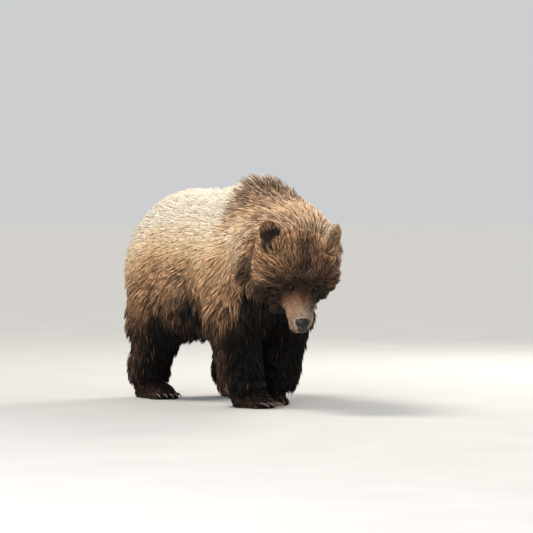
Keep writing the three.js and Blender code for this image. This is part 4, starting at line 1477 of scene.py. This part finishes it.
        # Colour: the marking at the tuft's middle, with each lock and each tuft apart.
        lock_shade = rng.normal(0, 1, len(leaders))[lock] * (0.24 - 0.21 * pale)
        tone = marking((centres[:, 1] + centres[:, 2]) / 2, upwards[:, 2], colours)
        tone = ear_marking(tone, root, normal, node[nearest], colours)
        tones = tuft_tones(rng, tone, root, normal, lock_shade, under, pale, colours)
        strand = rng.uniform(0, 60, count)
        roll = rng.normal(0, 0.6, count) * (1 - 0.70 * pale)

        long = length > SHORT
        names = coat_piece(region, node[nearest], root)
        vertex_names = coat_piece(zone, node, points)
        material = guard_hair()
        for name in sorted(set(names)):
            mine = names == name
            # Each tuft's patch is where its root is on the unwrapped skin.
            unwrapped = np.isin(np.arange(len(triangles)), picked[mine])
            unwrapped |= (vertex_names[triangles] == name).any(axis=1)
            corners = unwrap_zone(points, triangles[unwrapped])
            corners = corners[(np.cumsum(unwrapped) - 1)[picked[mine]]]
            root_uv = np.einsum("ij,ijk->ik", mix[mine], corners)
            parts = []
            for kind, rings in RINGS.items():
                chosen = mine & (long if kind == "long" else ~long)
                if not chosen.any():
                    continue
                line, up = centres[chosen][:, rings], upwards[chosen][:, rings]
                across, over = ring_ways(line, up, roll[chosen], pale[chosen])
                widths = width[chosen][:, None] * TUFT_WIDTHS[rings][None]
                mesh = tuft_mesh(f"{name}_{kind}", line, across, over, widths, tones[chosen][:, rings],
                                 strand[chosen], root_uv[chosen[mine]], TUFT_STEPS[rings])
                parts.append(new_object(f"{name}_{kind}", mesh))
            piece = joined(parts, name)
            if len(piece.data.polygons) > MOST_TRIANGLES:
                raise RuntimeError(f"{name} has {len(piece.data.polygons)} triangles")
            slots = [slot for start, slot in COAT_SLOTS.items() if name.startswith(start)]
            finish_piece(piece, material, (slots or ["coat_back"])[0])
        return {"FINISHED"}


# ---------- The stage ----------


class BearStage(bpy.types.PropertyGroup):
    """Where the camera stands, and the lights."""

    distance: bpy.props.FloatProperty(
        name="Distance", description="From the bear to the camera", default=14.0, unit="LENGTH"
    )
    height: bpy.props.FloatProperty(
        name="Camera height", description="Of the camera over the floor", default=0.95, unit="LENGTH"
    )
    azimuth: bpy.props.FloatProperty(
        name="Azimuth", description="Round to the bear's right from straight ahead", default=math.radians(30),
        unit="ROTATION"
    )
    lens: bpy.props.FloatProperty(
        name="Lens", description="Focal length on a 36 mm sensor", default=217.5, unit="CAMERA"
    )
    key: bpy.props.FloatProperty(
        name="Key light", description="Soft light from over the back, in watts on a square metre",
        default=2.7, min=0
    )
    fill: bpy.props.FloatProperty(
        name="Fill light", description="Soft light from beside the camera", default=270.0, unit="POWER"
    )
    rim: bpy.props.FloatProperty(
        name="Rim light", description="Light from behind the bear's left", default=150.0, unit="POWER"
    )


def area_light(name, location, target, size, power, shade):
    deselect()
    bpy.ops.object.light_add(type="AREA", location=location)
    light = bpy.context.object
    light.name = name
    light.data.shape = "DISK"
    light.data.size = size
    light.data.energy = power
    light.data.color = shade
    light.rotation_euler = (Vector(target) - Vector(location)).to_track_quat("-Z", "Y").to_euler()


class BEAR_OT_stage(bpy.types.Operator):
    """Put the bear on a plain floor in soft studio light, with a camera"""

    bl_idname = "bear.stage"
    bl_label = "Stage"
    bl_options = {"REGISTER", "UNDO"}

    def execute(self, context):
        scene = context.scene
        stage, colours = scene.bear_stage, scene.bear_colours
        deselect()
        bpy.ops.mesh.primitive_circle_add(vertices=64, radius=60, fill_type="NGON")
        floor = context.object
        floor.name = floor.data.name = "studio_floor"
        floor.data.materials.append(studio_floor(colours))

        # The camera's axis passes this far to the right of the body's origin, and this high above the floor.
        across, aim_height = 0.154, 0.589
        sight = Vector((math.sin(stage.azimuth), math.cos(stage.azimuth), 0))
        beside = Vector((math.cos(stage.azimuth), -math.sin(stage.azimuth), 0))
        foot = Vector(BODY_ORIGIN) + beside * across
        place = foot - sight * stage.distance
        place.z = stage.height
        aim = foot.copy()
        aim.z = aim_height
        bpy.ops.object.camera_add(location=place)
        camera = context.object
        camera.name = "camera"
        camera.rotation_euler = (aim - place).to_track_quat("-Z", "Y").to_euler()
        camera.data.lens = stage.lens
        camera.data.sensor_width = 36
        camera.data.clip_end = 200
        scene.camera = camera

        warm, cool = colour("#fff7ec"), colour("#fdfbff")
        deselect()
        bpy.ops.object.light_add(type="SUN", location=(-2, 3, 6))
        sun = context.object
        sun.name = "key"
        sun.data.energy = stage.key
        sun.data.angle = math.radians(24)
        sun.data.color = warm
        sun.rotation_euler = Vector((3.0, -2.2, -6.0)).to_track_quat("-Z", "Y").to_euler()
        area_light("fill", (-5.2, -4.6, 3.4), (0, -0.2, 0.5), 4.0, stage.fill, cool)
        area_light("rim", (3.6, 1.6, 3.0), (0, -0.4, 0.6), 2.0, stage.rim, warm)
        world = bpy.data.worlds.new("studio_air")
        world.use_nodes = True
        world.node_tree.nodes["Background"].inputs["Color"].default_value = (*colour("#eceef0"), 1)
        world.node_tree.nodes["Background"].inputs["Strength"].default_value = 0.72
        scene.world = world
        scene.view_settings.view_transform = "Standard"
        return {"FINISHED"}


# ---------- The add-on ----------


class BEAR_PT_panel(bpy.types.Panel):
    """The bear's operators and settings, in the 3D view's sidebar"""

    bl_idname = "BEAR_PT_panel"
    bl_label = "Grizzly Bear"
    bl_space_type = "VIEW_3D"
    bl_region_type = "UI"
    bl_category = "Bear"

    def draw(self, context):
        for operator in OPERATORS:
            self.layout.operator(operator.bl_idname)
        for group in (context.scene.bear_sizes, context.scene.bear_colours, context.scene.bear_stage):
            column = self.layout.column()
            for key in type(group).__annotations__:
                column.prop(group, key)


OPERATORS = (BEAR_OT_stage, BEAR_OT_skin, BEAR_OT_eyes, BEAR_OT_nose, BEAR_OT_claws, BEAR_OT_coat)
GROUPS = {"bear_sizes": BearSizes, "bear_colours": BearColours, "bear_stage": BearStage}


def register():
    for cls in (*GROUPS.values(), *OPERATORS, BEAR_PT_panel):
        bpy.utils.register_class(cls)
    for name, group in GROUPS.items():
        setattr(bpy.types.Scene, name, bpy.props.PointerProperty(type=group))


def unregister():
    for name in GROUPS:
        delattr(bpy.types.Scene, name)
    for cls in (BEAR_PT_panel, *reversed(OPERATORS), *reversed(GROUPS.values())):
        bpy.utils.unregister_class(cls)


def main():
    register()
    for operator in OPERATORS:
        group, name = operator.bl_idname.split(".")
        getattr(getattr(bpy.ops, group), name)()
    deselect()


if __name__ == "__main__":
    main()
